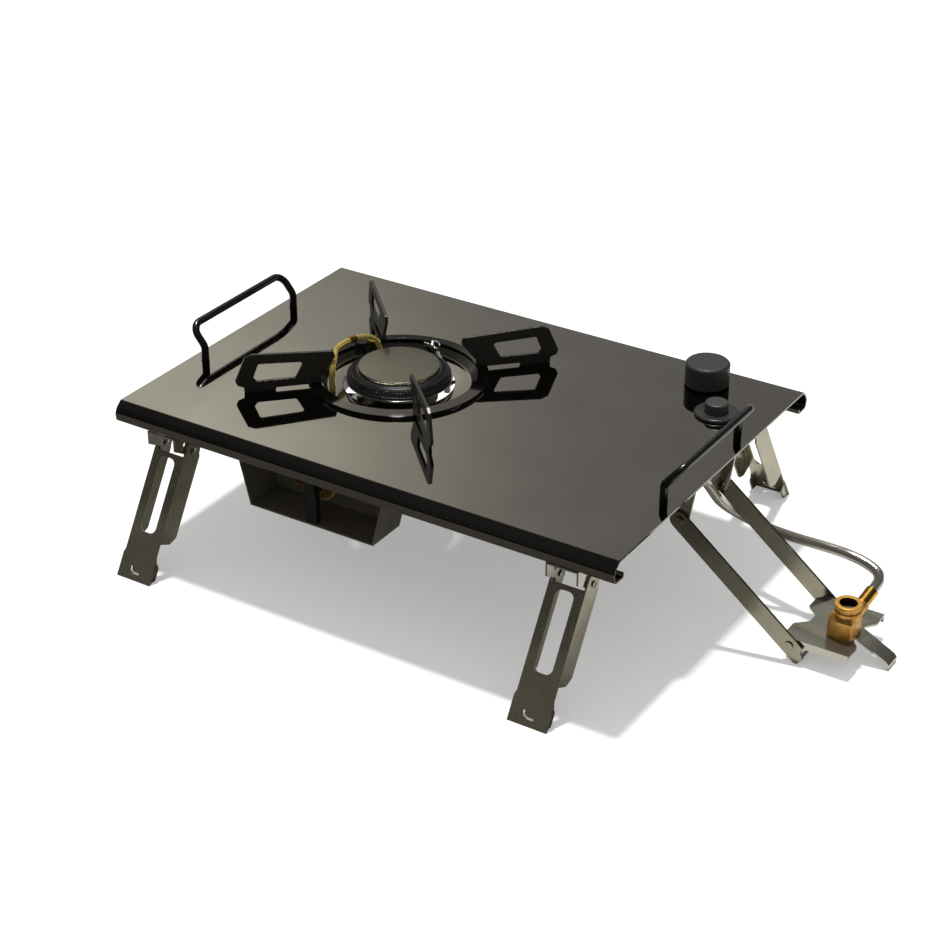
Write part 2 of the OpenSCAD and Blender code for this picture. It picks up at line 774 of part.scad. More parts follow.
module handle_nuts() {
  color("#8f8c86") home() for (sx = [-1, 1]) for (sy = [-1, 1])
    translate([sx * handle_x, sy * handle_span / 2, deck_under - nut_h]) difference() {
      cylinder(r = nut_r, h = nut_h, $fn = 6);
      translate([0, 0, -past]) cylinder(r = wire_r + pin_gap, h = nut_h + 2 * past);
    }
}

// ---- Controls ----

module gas_valve_body() {
  color("#a38247") home() translate([knob_x, knob_y, 0]) difference() {
    union() {
      translate([0, 0, valve_low]) cylinder(r = valve_r, h = deck_under - valve_low);
      translate([0, 0, deck_under - past]) cylinder(r = valve_neck_r, h = valve_neck_top - deck_under + past);
      rod_y(0, -inlet_len, inlet_z, inlet_r, inlet_len);
      rod_x(-outlet_len, 0, inlet_z, outlet_r, outlet_len);
    }
    translate([0, 0, spindle_low]) cylinder(r = spindle_r + pin_gap, h = valve_neck_top - spindle_low + past);
  }
}

module valve_nut() {
  color("#8f8c86") home() translate([knob_x, knob_y, 0]) difference() {
    cylinder(r = valve_nut_r, h = valve_nut_h, $fn = 6);
    translate([0, 0, -past]) cylinder(r = valve_neck_r + pin_gap, h = valve_nut_h + 2 * past);
  }
}

// A spindle of radius r with a flat along its top end.
module d_shaft(r, low, top, flat_low) {
  difference() {
    translate([0, 0, low]) cylinder(r = r, h = top - low);
    translate([flat_x + (r - spindle_r), -r - past, flat_low])
      cube([r + past, 2 * (r + past), top - flat_low + past]);
  }
}

module valve_spindle() {
  color("#b9b6b0") home() translate([knob_x, knob_y, 0])
    d_shaft(spindle_r, spindle_low, spindle_top, knob_hollow_top);
}

module control_knob() {
  color("#2b2a28") home() translate([knob_x, knob_y, 0]) difference() {
    rotate_extrude() polygon([
      [0, knob_under], [knob_r, knob_under], [knob_r, knob_top - knob_chamfer],
      [knob_r - knob_chamfer, knob_top], [0, knob_top]
    ]);
    translate([0, 0, knob_under - past]) cylinder(r = knob_hollow_r, h = knob_hollow_top - knob_under + past);
    d_shaft(spindle_r + pin_gap, knob_hollow_top - past, spindle_top + pin_gap, knob_hollow_top - past);
  }
}

module igniter_bezel() {
  color("#2b2a28") home() translate([button_x, button_y, 0]) difference() {
    union() {
      rotate_extrude() polygon([
        [0, 0], [bezel_r, 0], [bezel_r, 1.2], [bezel_r - 0.8, bezel_h], [0, bezel_h]
      ]);
      translate([0, 0, bezel_low]) cylinder(r = bezel_neck_r, h = -bezel_low);
    }
    translate([0, 0, bezel_low - past])
      cylinder(r = button_r + slide_gap, h = bezel_h - bezel_low + 2 * past);
  }
}

module igniter_body() {
  color("#1f1e1c") home() translate([button_x, button_y, 0]) difference() {
    union() {
      translate([0, 0, piezo_low]) cylinder(r = piezo_r, h = bezel_low - piezo_low);
      translate([0, 0, bezel_low - piezo_flange]) cylinder(r = bezel_neck_r, h = piezo_flange);
    }
    translate([0, 0, stem_low - button_travel - past])
      cylinder(r = stem_r + slide_gap, h = bezel_low - stem_low + button_travel + 2 * past);
  }
}

module igniter_button() {
  color("#4a4947") home() translate([button_x, button_y, 0]) {
    rotate_extrude() polygon([
      [0, button_low], [button_r, button_low], [button_r, button_top - 0.8],
      [button_r - 0.8, button_top], [0, button_top]
    ]);
    translate([0, 0, stem_low]) cylinder(r = stem_r, h = button_low - stem_low);
  }
}

// ---- Air scoop ----

function scoop_path() = [
  [-scoop_top / 2 - scoop_flange, deck_under], [-scoop_top / 2, deck_under],
  [-scoop_floor / 2, scoop_t - scoop_h], [scoop_floor / 2, scoop_t - scoop_h],
  [scoop_top / 2, deck_under], [scoop_top / 2 + scoop_flange, deck_under]
];

module scoop_rivet_places() {
  for (sx = [-1, 1]) for (sy = [scoop_front + 6, scoop_back - 6])
    translate([burner_x + sx * (scoop_top / 2 + scoop_flange / 2), sy, 0]) children();
}

module air_scoop() {
  color("#45413a") home() difference() {
    at_burner() {
      front_plate(scoop_front, scoop_depth) polygon(sheet_outline(scoop_path(), scoop_t));
      front_plate(scoop_back - scoop_t, scoop_t) polygon([
        [-scoop_top / 2, deck_under], [-scoop_floor / 2, scoop_t - scoop_h],
        [scoop_floor / 2, scoop_t - scoop_h], [scoop_top / 2, deck_under]
      ]);
    }
    at_burner() {
      rod_y(0, scoop_back - scoop_t - past, -mixer_drop, mixer_r + pass_gap, scoop_t + 2 * past);
      rod_y(feed_hole.x, scoop_back - scoop_t - past, feed_hole.y, feed_hole_r, scoop_t + 2 * past);
    }
    scoop_rivet_places() translate([0, 0, deck_under - scoop_t - past])
      cylinder(r = scoop_rivet_r + pin_gap, h = scoop_t + 2 * past);
  }
}

// A rivet with a head at each end, standing on z.
module rivet(z, grip, r, head_r, head_t) {
  translate([0, 0, z - head_t]) cylinder(r = head_r, h = head_t);
  translate([0, 0, z - head_t]) cylinder(r = r, h = grip + 2 * head_t);
  translate([0, 0, z + grip]) cylinder(r = head_r, h = head_t);
}

// The scoop's rivets are blind: their studs end inside the deck sheet, so that its top stays plain.
module scoop_rivets() {
  color("#5a554c") home() scoop_rivet_places() {
    translate([0, 0, deck_under - scoop_t - small_head_t]) cylinder(r = small_head_r, h = small_head_t);
    translate([0, 0, deck_under - scoop_t - small_head_t])
      cylinder(r = scoop_rivet_r, h = stud_in + scoop_t + small_head_t);
  }
}

// ---- Legs ----

// Places children at a leg's pivot, mirrored so that outward is always -Y.
module at_leg(sx, sy) {
  translate([sx * leg_x, 0, 0]) mirror([0, sy > 0 ? 1 : 0, 0])
    translate([0, pivot_in - half_depth, -pivot_drop]) children();
}

module leg_flange_outline() {
  difference() {
    union() {
      circle(r = web_out);
      polygon(rounded([
        [-web_out, 0], [-web_out, -flange_low], [flange_in - 5, 1 - flange_low],
        [flange_in, 6 - flange_low], [flange_in, 0]
      ], [0, 0, 2, 3, 3]));
      polygon(rounded([
        [-web_out, -foot_top - 2], [-web_out, -leg_reach], [-tab_in, -leg_reach],
        [-tab_in, -foot_top - 6]
      ], [0, 0, 0, 3]));
    }
    circle(r = leg_pin_r + pin_gap);
  }
}

module leg_web_outline() {
  half = leg_w / 2;
  difference() {
    polygon([
      [-half, -web_top], [half, -web_top], [half, -foot_top], [half + foot_extra, -foot_top - 3],
      [half + foot_extra, -leg_reach], [-half - foot_extra, -leg_reach],
      [-half - foot_extra, -foot_top - 3], [-half, -foot_top]
    ]);
    polygon(rounded([
      [-window_w / 2, -window_top], [window_w / 2, -window_top],
      [window_w / 2, -window_top - window_h], [-window_w / 2, -window_top - window_h]
    ], window_corner));
    translate([-1, -slot_at]) polygon(rounded([
      [-4, 3], [-2.6, 3], [-2.2, 0.8], [0, -0.4], [4, -0.4], [4, -1.8], [0, -1.8], [-3.4, 0]
    ], 0.4));
  }
}

module leg(sx, sy) {
  color("#7c786d") home() difference() {
    at_leg(sx, sy) rotate([-leg_lean, 0, 0]) {
      front_plate(-web_out, leg_t) leg_web_outline();
      for (side = [-1, 1]) side_plate(side * (leg_w - leg_t) / 2 - leg_t / 2, leg_t) leg_flange_outline();
    }
    below_table();
  }
}
module leg_front_left() leg(-1, -1);
module leg_front_right() leg(1, -1);
module leg_back_left() leg(-1, 1);
module leg_back_right() leg(1, 1);

module leg_rivet_places() {
  for (sx = [-1, 1]) for (sy = [-1, 1]) for (side = [-1, 1])
    translate([sx * leg_x + side * small_rivet_x, sy * (half_depth - small_rivet_y), 0]) children();
}

function ear_outline() =
  let (top = pivot_drop - rim_drop)
  [
    [ear_front - pivot_in, top], [ear_back - pivot_in, top], [ear_r, 0], [-ear_r, 0],
    [ear_front - pivot_in, 6]
  ];

module leg_bracket(sx, sy) {
  top = pivot_drop - rim_drop;
  color("#5c584e") home() difference() {
    at_leg(sx, sy) {
      translate([-ear_out, ear_front - pivot_in, top - ear_t])
        cube([2 * ear_out, ear_back - ear_front, ear_t]);
      for (side = [-1, 1]) side_plate(side * (ear_out - ear_t / 2) - ear_t / 2, ear_t) difference() {
        union() {
          polygon(ear_outline());
          circle(r = ear_r);
        }
        circle(r = leg_pin_r + pin_gap);
        translate([-6, 7]) circle(r = 1.4);
      }
    }
    leg_rivet_places() translate([0, 0, rim_under - ear_t - past])
      cylinder(r = small_rivet_r + pin_gap, h = ear_t + 2 * past);
  }
}
module leg_bracket_front_left() leg_bracket(-1, -1);
module leg_bracket_front_right() leg_bracket(1, -1);
module leg_bracket_back_left() leg_bracket(-1, 1);
module leg_bracket_back_right() leg_bracket(1, 1);

module leg_bracket_rivets() {
  color("#8f8c86") home() leg_rivet_places()
    rivet(rim_under - ear_t, ear_t + deck_t + flange_rise, small_rivet_r, small_head_r, small_head_t);
}

// Two short rivets join each leg's flanges to the ears of its bracket.
module leg_pivot_rivets() {
  color("#b9b6ae") home() for (sx = [-1, 1]) for (sy = [-1, 1]) at_leg(sx, sy) for (side = [-1, 1])
    rotate([0, side * 90, 0])
      rivet(ear_out - ear_t, leg_w / 2 - ear_out + ear_t, leg_pin_r, leg_head_r, rivet_head_t);
}

// ---- Canister stand ----

module stand_hinge_bracket() {
  color("#6e6a60") home() translate([stand_x, stand_y, 0]) {
    translate([-hinge_plate_half, -hinge_out, deck_under - hinge_t])
      cube([2 * hinge_plate_half, 2 * hinge_out, hinge_t]);
    for (side = [-1, 1]) front_plate(side * (hinge_out - hinge_t / 2) - hinge_t / 2, hinge_t)
      difference() {
        union() {
          polygon([
            [-hinge_plate_half, deck_under], [hinge_plate_half, deck_under],
            [strut_w / 2, -stand_drop], [-strut_w / 2, -stand_drop]
          ]);
          translate([0, -stand_drop]) circle(r = strut_w / 2);
        }
        translate([0, -stand_drop]) circle(r = strut_pin_r + pin_gap);
      }
  }
}

// Rivets that run outward from inner, through two sheets, at both sides of the stand.
module side_rivets(x, z, inner, grip) {
  translate([x, stand_y, z]) for (side = [-1, 1]) rotate([-side * 90, 0, 0])
    rivet(inner, grip, strut_pin_r, strut_head_r, rivet_head_t);
}

module stand_pivot_rivets() {
  color("#b9b6ae") home()
    side_rivets(stand_x, -stand_drop, hinge_out - hinge_t, hinge_t + slide_gap + strut_t);
}

module strut(side) {
  middle = stand_y + side * strut_gap / 2;
  color("#8f8b7f") home() difference() {
    translate([stand_x, middle, -stand_drop]) rotate([0, stand_angle, 0]) {
      front_plate(-strut_t / 2, strut_t) difference() {
        union() {
          circle(r = strut_w / 2);
          translate([0, -strut_w / 2]) square([strut_len + foot_tab_at + strut_t, strut_w]);
        }
        circle(r = strut_pin_r + pin_gap);
        translate([strut_len, 0]) circle(r = strut_pin_r + pin_gap);
        translate([strut_len + foot_tab_at + strut_t, strut_w / 2]) circle(r = 5);
      }
      translate([strut_len + foot_tab_at, side > 0 ? -foot_tab_len : 0, -strut_w / 2 - 2])
        cube([strut_t, foot_tab_len, strut_w / 2 + 2 + foot_tab_top]);
    }
    below_table();
  }
}
module stand_arm_front() strut(-1);
module stand_arm_rear() strut(1);

module bracket_pivot_rivets() {
  color("#b9b6ae") home()
    side_rivets(lower_x, lower_z, bracket_half - bracket_t, bracket_t + slide_gap + strut_t);
}

function bracket_outline() =
  let (l = bracket_left, r = bracket_right, h = bracket_half)
  [
    [l + 5, -h], [r - 0.5, -h], [r, -15], [r - waist_right, -9], [r - waist_right, 9], [r, 15],
    [r - 0.5, h], [l + 5, h], [l, h - 5], [l, 11], [l + waist_left, 4], [l + waist_left, -4],
    [l, -11], [l, 5 - h]
  ];

module canister_bracket() {
  side_len = bracket_right - 0.5 - lower_x;
  color("#85827a") home() difference() {
    translate([0, stand_y, 0]) {
      translate([0, 0, bracket_top - bracket_t]) linear_extrude(bracket_t)
        polygon(rounded(bracket_outline(), [1, 0, 2, 2, 2, 2, 0, 1, 1.5, 2, 3, 3, 2, 1.5]));
      for (side = [-1, 1]) front_plate(side * (bracket_half - bracket_t / 2) - bracket_t / 2, bracket_t)
        difference() {
          union() {
            translate([lower_x, bracket_top - bracket_side_h]) square([side_len, bracket_side_h]);
            translate([lower_x, lower_z]) circle(r = bracket_ear_r);
          }
          translate([lower_x, lower_z]) circle(r = strut_pin_r + pin_gap);
          translate([lower_x - 2 * bracket_ear_r, bracket_top]) square(4 * bracket_ear_r);
        }
      front_plate(-tongue_w / 2, tongue_w) polygon(sheet_outline([
        [tongue_bend - 4, bracket_top], [tongue_bend, bracket_top],
        [tongue_end - 2, tongue_lip_z + 2 - deck_height], [tongue_end, tongue_lip_z - deck_height],
        [tongue_end, -deck_height]
      ], bracket_t));
    }
    translate([block_x, block_y, bracket_top - bracket_t - past])
      cylinder(r = canister_pin_r + 2, h = bracket_t + 2 * past);
  }
}

// Places children at the foot of the ferrule, along its axis.
module at_ferrule() {
  translate(ferrule_foot) rotate([0, 0, -ferrule_swing]) rotate([-ferrule_lean, 0, 0]) children();
}
// A point on the ferrule's axis at a distance from its foot.
function on_ferrule(far) = ferrule_foot + far * [
  sin(ferrule_lean) * sin(ferrule_swing), sin(ferrule_lean) * cos(ferrule_swing), cos(ferrule_lean)
];

// The valve block seen from above, about the axis of its neck.
module block_outline() {
  left = block_side - block_w;
  back = block_d - block_front;
  polygon(rounded([
    [left, 2 - block_front], [-2, -block_front], [block_side, 1 - block_front],
    [block_side, back], [left, back]
  ], [3, 10, 0.8, 2, 4]));
}

module canister_valve_block() {
  color("#b5853f") home() difference() {
    union() {
      translate([block_x, block_y, bracket_top]) {
        linear_extrude(block_h - shoulder_h) block_outline();
        translate([0, 0, block_h - shoulder_h])
          linear_extrude(shoulder_h, scale = shoulder_shrink) block_outline();
        rotate_extrude() polygon([
          [0, block_h - shoulder_h], [neck_r, block_h - shoulder_h], [neck_r, block_h + neck_h - 0.6],
          [neck_r - 0.6, block_h + neck_h], [0, block_h + neck_h]
        ]);
      }
      at_ferrule() cylinder(r = ferrule_r + 0.5, h = ferrule_boss);
    }
    translate([block_x, block_y, neck_top - thread_depth])
      cylinder(r = thread_r, h = thread_depth + past);
    translate([block_x, block_y, neck_top - thread_depth - seal_h])
      cylinder(r = seal_out_r + slide_gap, h = seal_h + past);
    translate([block_x, block_y, neck_top - thread_depth - pin_len])
      cylinder(r = canister_pin_r + slide_gap, h = pin_len);
  }
}

module canister_pin() {
  color("#c9a25a") home() translate([block_x, block_y, neck_top - thread_depth - pin_len])
    cylinder(r = canister_pin_r, h = pin_len - pass_gap);
}

module neck_seal() {
  color("#1a1918") home() translate([block_x, block_y, neck_top - thread_depth - seal_h]) difference() {
    cylinder(r = seal_out_r, h = seal_h - slide_gap);
    translate([0, 0, -past]) cylinder(r = seal_in_r, h = seal_h + 2 * past);
  }
}

module hose_ferrule() {
  color("#c79a4c") home() at_ferrule() difference() {
    translate([0, 0, ferrule_boss]) cylinder(r = ferrule_r, h = ferrule_len - ferrule_boss);
    translate([0, 0, ferrule_len - ferrule_seat]) cylinder(r = hose_r + slide_gap, h = ferrule_seat + past);
  }
}

module hose_nut() {
  color("#a38247") home()
    rod_y(knob_x, knob_y - inlet_len - hose_nut_len, inlet_z, hose_nut_r, hose_nut_len, $fn = 6);
}

module fuel_hose() {
  valve_end = knob_y - inlet_len - hose_nut_len;
  path = concat(
    [on_ferrule(ferrule_len - ferrule_seat + slide_gap), on_ferrule(ferrule_len)],
    smooth(hose_points, 2),
    [[knob_x, valve_end - 12, inlet_z], [knob_x, valve_end, inlet_z]]
  );
  color("#8d8a84") home() swept(path, hose_r, hose_sides);
}

top_plate();
drip_bowl();
burner_base();
burner_rim();
burner_head();
burner_cap();
mixing_tube();
jet_holder();
jet_pipe();
vaporiser_tube();
vaporiser_fittings();
supply_pipe();
electrode_insulator();
igniter_electrode();
igniter_lead();
trivet_ring();
pan_arm_front_right();
pan_arm_back_right();
pan_arm_back_left();
pan_arm_front_left();
handle_left();
handle_right();
handle_nuts();
gas_valve_body();
valve_nut();
valve_spindle();
control_knob();
igniter_bezel();
igniter_body();
igniter_button();
air_scoop();
scoop_rivets();
leg_front_left();
leg_front_right();
leg_back_left();
leg_back_right();
leg_bracket_front_left();
leg_bracket_front_right();
leg_bracket_back_left();
leg_bracket_back_right();
leg_bracket_rivets();
leg_pivot_rivets();
stand_hinge_bracket();
stand_pivot_rivets();
stand_arm_front();
stand_arm_rear();
bracket_pivot_rivets();
canister_bracket();
canister_valve_block();
canister_pin();
neck_seal();
hose_ferrule();
hose_nut();
fuel_hose();
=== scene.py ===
"""Dresses the folding table stove for its render.

The CAD frame carries every piece. Sizes here are millimetres in the deck's own frame, whose origin is the
middle of the deck's top face, and mm() turns them into metres in the row's frame.
"""
import json
import math

import bmesh
import bpy
from mathutils import Matrix, Vector


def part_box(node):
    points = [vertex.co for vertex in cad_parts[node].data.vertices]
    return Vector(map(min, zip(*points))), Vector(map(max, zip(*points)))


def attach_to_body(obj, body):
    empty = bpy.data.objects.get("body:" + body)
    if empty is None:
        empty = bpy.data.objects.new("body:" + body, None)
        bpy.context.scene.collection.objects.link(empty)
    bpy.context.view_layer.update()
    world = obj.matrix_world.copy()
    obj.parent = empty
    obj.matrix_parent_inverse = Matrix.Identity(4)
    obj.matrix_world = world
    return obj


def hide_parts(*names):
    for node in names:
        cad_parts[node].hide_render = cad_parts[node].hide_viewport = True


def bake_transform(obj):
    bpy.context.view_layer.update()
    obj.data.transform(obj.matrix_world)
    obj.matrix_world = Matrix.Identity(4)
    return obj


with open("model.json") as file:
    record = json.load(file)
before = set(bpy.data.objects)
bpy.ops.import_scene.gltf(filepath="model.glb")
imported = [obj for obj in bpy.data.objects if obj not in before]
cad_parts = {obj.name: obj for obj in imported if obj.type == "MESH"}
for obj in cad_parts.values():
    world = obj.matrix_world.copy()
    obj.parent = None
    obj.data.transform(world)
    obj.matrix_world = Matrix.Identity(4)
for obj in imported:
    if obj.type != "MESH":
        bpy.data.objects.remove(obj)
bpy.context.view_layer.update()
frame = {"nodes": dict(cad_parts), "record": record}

MM = 0.001
DECK_HEIGHT = 101.5
DECK_LENGTH = 360
DECK_DEPTH = 240
BURNER_X = -49
HALF_DEPTH = DECK_DEPTH / 2
# The deck's middle stands this far from the row's origin: its end faces are the deck node's box.
HOME_X = (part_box("top_plate")[0].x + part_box("top_plate")[1].x) / 2 / MM


def mm(x, y, z):
    """A point of the deck's frame in metres of the row's frame."""
    return Vector(((x + HOME_X) * MM, y * MM, (z + DECK_HEIGHT) * MM))


# ---- Camera, floor and light ----

CAMERA_PLACE = (0.6086, -1.0371, 0.7446)
CAMERA_LOOKS = (-0.46585, 0.73408, -0.49407)
CAMERA_LENS = 83.18
# Direction that the main lamp's light comes from, and the middle of the bright part of the studio.
LAMP_FROM = (-0.16, 0.20, 1.0)
GLOW_FROM = (-0.574, 0.657, 0.489)
# Brightness of the studio, as gloss sees it, by degrees away from the middle of that glow.
GLOW_STEPS = [
    (0, 1.38), (1.6, 1.19), (5.3, 0.71), (7.4, 0.52), (9, 0.43), (10.3, 0.38), (12.6, 0.335), (15.4, 0.3),
    (28, 0.235), (34, 0.13), (45, 0.065), (60, 0.035), (120, 0.03),
]


def set_camera():
    data = bpy.data.cameras.new("camera")
    data.lens = CAMERA_LENS
    data.sensor_width = 36
    data.clip_end = 50
    camera = bpy.data.objects.new("camera", data)
    camera.location = CAMERA_PLACE
    camera.rotation_euler = Vector(CAMERA_LOOKS).to_track_quat("-Z", "Y").to_euler()
    bpy.context.scene.collection.objects.link(camera)
    bpy.context.scene.camera = camera


set_camera()
bpy.context.scene.view_settings.view_transform = "Standard"


# ---- Materials ----


def linear(hex_code):
    """A written sRGB colour as linear values."""
    code = hex_code.lstrip("#")
    parts = [int(code[i : i + 2], 16) / 255 for i in (0, 2, 4)]
    return [c / 12.92 if c <= 0.04045 else ((c + 0.055) / 1.055) ** 2.4 for c in parts] + [1.0]


class Paint:
    """A material under construction: nodes are added by name and joined by sockets."""

    def __init__(self, name, colour, rough, metallic=0.0):
        self.material = bpy.data.materials.new(name)
        self.material.use_nodes = True
        self.tree = self.material.node_tree
        self.shader = self.tree.nodes["Principled BSDF"]
        self.set("Base Color", linear(colour))
        self.set("Roughness", rough)
        self.set("Metallic", metallic)

    def set(self, socket, value):
        self.shader.inputs[socket].default_value = value

    def node(self, kind, **inputs):
        made = self.tree.nodes.new(kind)
        for key, value in inputs.items():
            made.inputs[key.replace("_", " ")].default_value = value
        return made

    def join(self, out, socket):
        self.tree.links.new(out, socket)

    def place(self, stretch=(1, 1, 1), turn=(0, 0, 0), source="Object"):
        """Coordinates in millimetres, squeezed by stretch and turned, from the piece's own place."""
        coordinates = self.node("ShaderNodeTexCoord")
        mapping = self.node("ShaderNodeMapping")
        mapping.vector_type = "TEXTURE"
        mapping.inputs["Scale"].default_value = [MM * s for s in stretch]
        mapping.inputs["Rotation"].default_value = [math.radians(a) for a in turn]
        self.join(coordinates.outputs[source], mapping.inputs["Vector"])
        return mapping.outputs["Vector"]

    def noise(self, vector, size, detail=3.0, rough=0.5):
        """Noise whose features are about size millimetres across."""
        made = self.node("ShaderNodeTexNoise", Scale=1 / size, Detail=detail, Roughness=rough)
        self.join(vector, made.inputs["Vector"])
        return made.outputs["Fac"]

    def spread(self, value, low, high, start=0.3, end=0.7):
        """A value between start and end turned into one between low and high."""
        made = self.node("ShaderNodeMapRange")
        for key, number in (("From Min", start), ("From Max", end), ("To Min", low), ("To Max", high)):
            made.inputs[key].default_value = number
        self.join(value, made.inputs["Value"])
        return made.outputs["Result"]

    def math(self, kind, a, b=None):
        made = self.node("ShaderNodeMath")
        made.operation = kind
        for socket, value in zip(made.inputs, (a, b)):
            if isinstance(value, (int, float)):
                socket.default_value = value
            elif value is not None:
                self.join(value, socket)
        return made.outputs[0]

    def blend(self, factor, one, two):
        """The colour one where factor is 0, and two where it is 1, given to the shader."""
        made = self.node("ShaderNodeMix")
        made.data_type = "RGBA"
        made.inputs["A"].default_value = linear(one)
        made.inputs["B"].default_value = linear(two)
        self.join(factor, made.inputs["Factor"])
        self.join(made.outputs["Result"], self.shader.inputs["Base Color"])

    def bump(self, height, depth):
        """Relief of the given depth in millimetres."""
        made = self.node("ShaderNodeBump", Strength=1.0, Distance=depth * MM)
        self.join(height, made.inputs["Height"])
        self.join(made.outputs["Normal"], self.shader.inputs["Normal"])


def rolled_steel(name, dark, light, rough, grain, turn=(0, 0, 0), depth=0.004, metallic=1.0):
    """Stainless sheet with a rolling grain: streaks some 20 mm long and a fraction of a millimetre wide."""
    paint = Paint(name, light, rough, metallic)
    along = {"x": (25, 0.35, 0.35), "y": (0.35, 25, 0.35), "z": (0.35, 0.35, 25)}[grain]
    streaks = paint.noise(paint.place(along, turn), 1, 2.0)
    cloud = paint.noise(paint.place(), 30, 2.0)
    paint.blend(paint.spread(cloud, 0, 1), dark, light)
    paint.join(paint.spread(streaks, rough * 0.75, rough * 1.3), paint.shader.inputs["Roughness"])
    paint.bump(streaks, depth)
    return paint.material


def mirror_steel():
    """The deck: polished stainless with a smoky tint, faint polishing swirls and wiped traces."""
    paint = Paint("smoky mirror steel", "#8f8b83", 0.035, 1.0)
    wiped = paint.noise(paint.place((60, 12, 12)), 1, 3.0)
    haze = paint.noise(paint.place(), 55, 2.0)
    paint.blend(paint.spread(haze, 0, 1), "#8c8880", "#939087")
    paint.join(paint.spread(wiped, 0.02, 0.055), paint.shader.inputs["Roughness"])
    return paint.material


def bright_steel(name="bright pressed steel", colour="#c6c4be", rough=0.14):
    """Drawn stainless with soft waviness from the press."""
    paint = Paint(name, colour, rough, 1.0)
    waves = paint.noise(paint.place(), 9, 2.0)
    fine = paint.noise(paint.place(), 0.5, 2.0)
    paint.join(paint.spread(fine, rough * 0.7, rough * 1.4), paint.shader.inputs["Roughness"])
    paint.bump(waves, 0.03)
    return paint.material


def plated_steel():
    """Zinc-plated rivets and nuts."""
    paint = Paint("zinc plate", "#b9b7b0", 0.22, 1.0)
    grains = paint.noise(paint.place(), 0.4, 3.0)
    paint.join(paint.spread(grains, 0.16, 0.34), paint.shader.inputs["Roughness"])
    paint.bump(grains, 0.01)
    return paint.material


def enamel(name, colour, rough, grain_depth=0.012, coat=0.0):
    """Baked black enamel, with a fine orange-peel skin."""
    paint = Paint(name, colour, rough)
    paint.set("Coat Weight", coat)
    paint.set("Coat Roughness", 0.08)
    skin = paint.noise(paint.place(), 0.7, 2.0)
    cloud = paint.noise(paint.place(), 12, 2.0)
    paint.join(paint.spread(cloud, rough * 0.85, rough * 1.2), paint.shader.inputs["Roughness"])
    paint.bump(skin, grain_depth)
    return paint.material


def moulded(name, colour, rough, depth=0.02):
    """Moulded plastic with a spark-eroded texture."""
    paint = Paint(name, colour, rough)
    sparks = paint.noise(paint.place(), 0.25, 4.0, 0.7)
    paint.join(paint.spread(sparks, rough * 0.85, rough * 1.15), paint.shader.inputs["Roughness"])
    paint.bump(sparks, depth)
    return paint.material


def turned_brass(name, dark, light, rough, squeeze=(12, 12, 0.25), metallic=1.0):
    """Brass with fine turning rings across its axis and slight tarnish."""
    paint = Paint(name, light, rough, metallic)
    rings = paint.noise(paint.place(squeeze), 1, 1.0)
    tarnish = paint.noise(paint.place(), 3.5, 4.0)
    paint.blend(paint.spread(tarnish, 0, 1), dark, light)
    paint.join(paint.spread(tarnish, rough * 1.3, rough * 0.8), paint.shader.inputs["Roughness"])
    paint.bump(rings, 0.02)
    return paint.material


def heated_brass():
    """The vaporiser's tube: bright straw above the bowl's shelf, turning brown towards the foot under the shelf as
    painted shade.
    """
    paint = Paint("brass with painted shade at the foot", "#e8c75e", 0.18, 0.8)
    split = paint.node("ShaderNodeSeparateXYZ")
    paint.join(paint.place(), split.inputs[0])
    height = paint.spread(split.outputs["Z"], 0, 1, DECK_HEIGHT - 20, DECK_HEIGHT - 5)
    cloud = paint.noise(paint.place(), 5, 3.0)
    mixed = paint.math("ADD", height, paint.spread(cloud, -0.25, 0.25))
    # Painted shade: brown towards the foot, under the bowl's shelf; the cloud adds a random tone.
    paint.blend(paint.math("MINIMUM", paint.math("MAXIMUM", mixed, 0.0), 1.0), "#7c5524", "#ffe27c")
    paint.bump(cloud, 0.004)
    return paint.material


# Wires that run each way round the hose, and the length over which one repeats in millimetres.
STRANDS = 20
STRAND_PITCH = 1.7


def braid():
    """Stainless wire braid in the hose's own UV map, which is in millimetres along and round the hose."""
    paint = Paint("wire braid", "#b9b4ab", 0.3, 0.86)
    split = paint.node("ShaderNodeSeparateXYZ")
    coordinates = paint.node("ShaderNodeTexCoord")
    paint.join(coordinates.outputs["UV"], split.inputs[0])
    along, around = split.outputs["X"], split.outputs["Y"]
    # Fine strands cross at about 30 degrees to the hose.
    round_turn = paint.math("MULTIPLY", around, 2 * math.pi * STRANDS)
    along_turn = paint.math("MULTIPLY", along, 2 * math.pi / STRAND_PITCH)
    right = paint.math("SINE", paint.math("ADD", round_turn, along_turn))
    left = paint.math("SINE", paint.math("SUBTRACT", round_turn, along_turn))
    strands = paint.math("MAXIMUM", right, left)
    paint.blend(paint.spread(strands, 0, 1, -0.6, 0.9), "#979288", "#cdc8bd")
    paint.join(paint.spread(strands, 0.24, 0.14, -0.5, 1), paint.shader.inputs["Roughness"])
    paint.bump(strands, 0.02)
    return paint.material


def glazed():
    """White glazed ceramic."""
    paint = Paint("glazed ceramic", "#d9d5ca", 0.2)
    paint.bump(paint.noise(paint.place(), 1.5, 2.0), 0.01)
    return paint.material


def rubber():
    """Black rubber with a dull skin."""
    paint = Paint("rubber", "#141413", 0.6)
    paint.bump(paint.noise(paint.place(), 0.3, 3.0), 0.02)
    return paint.material


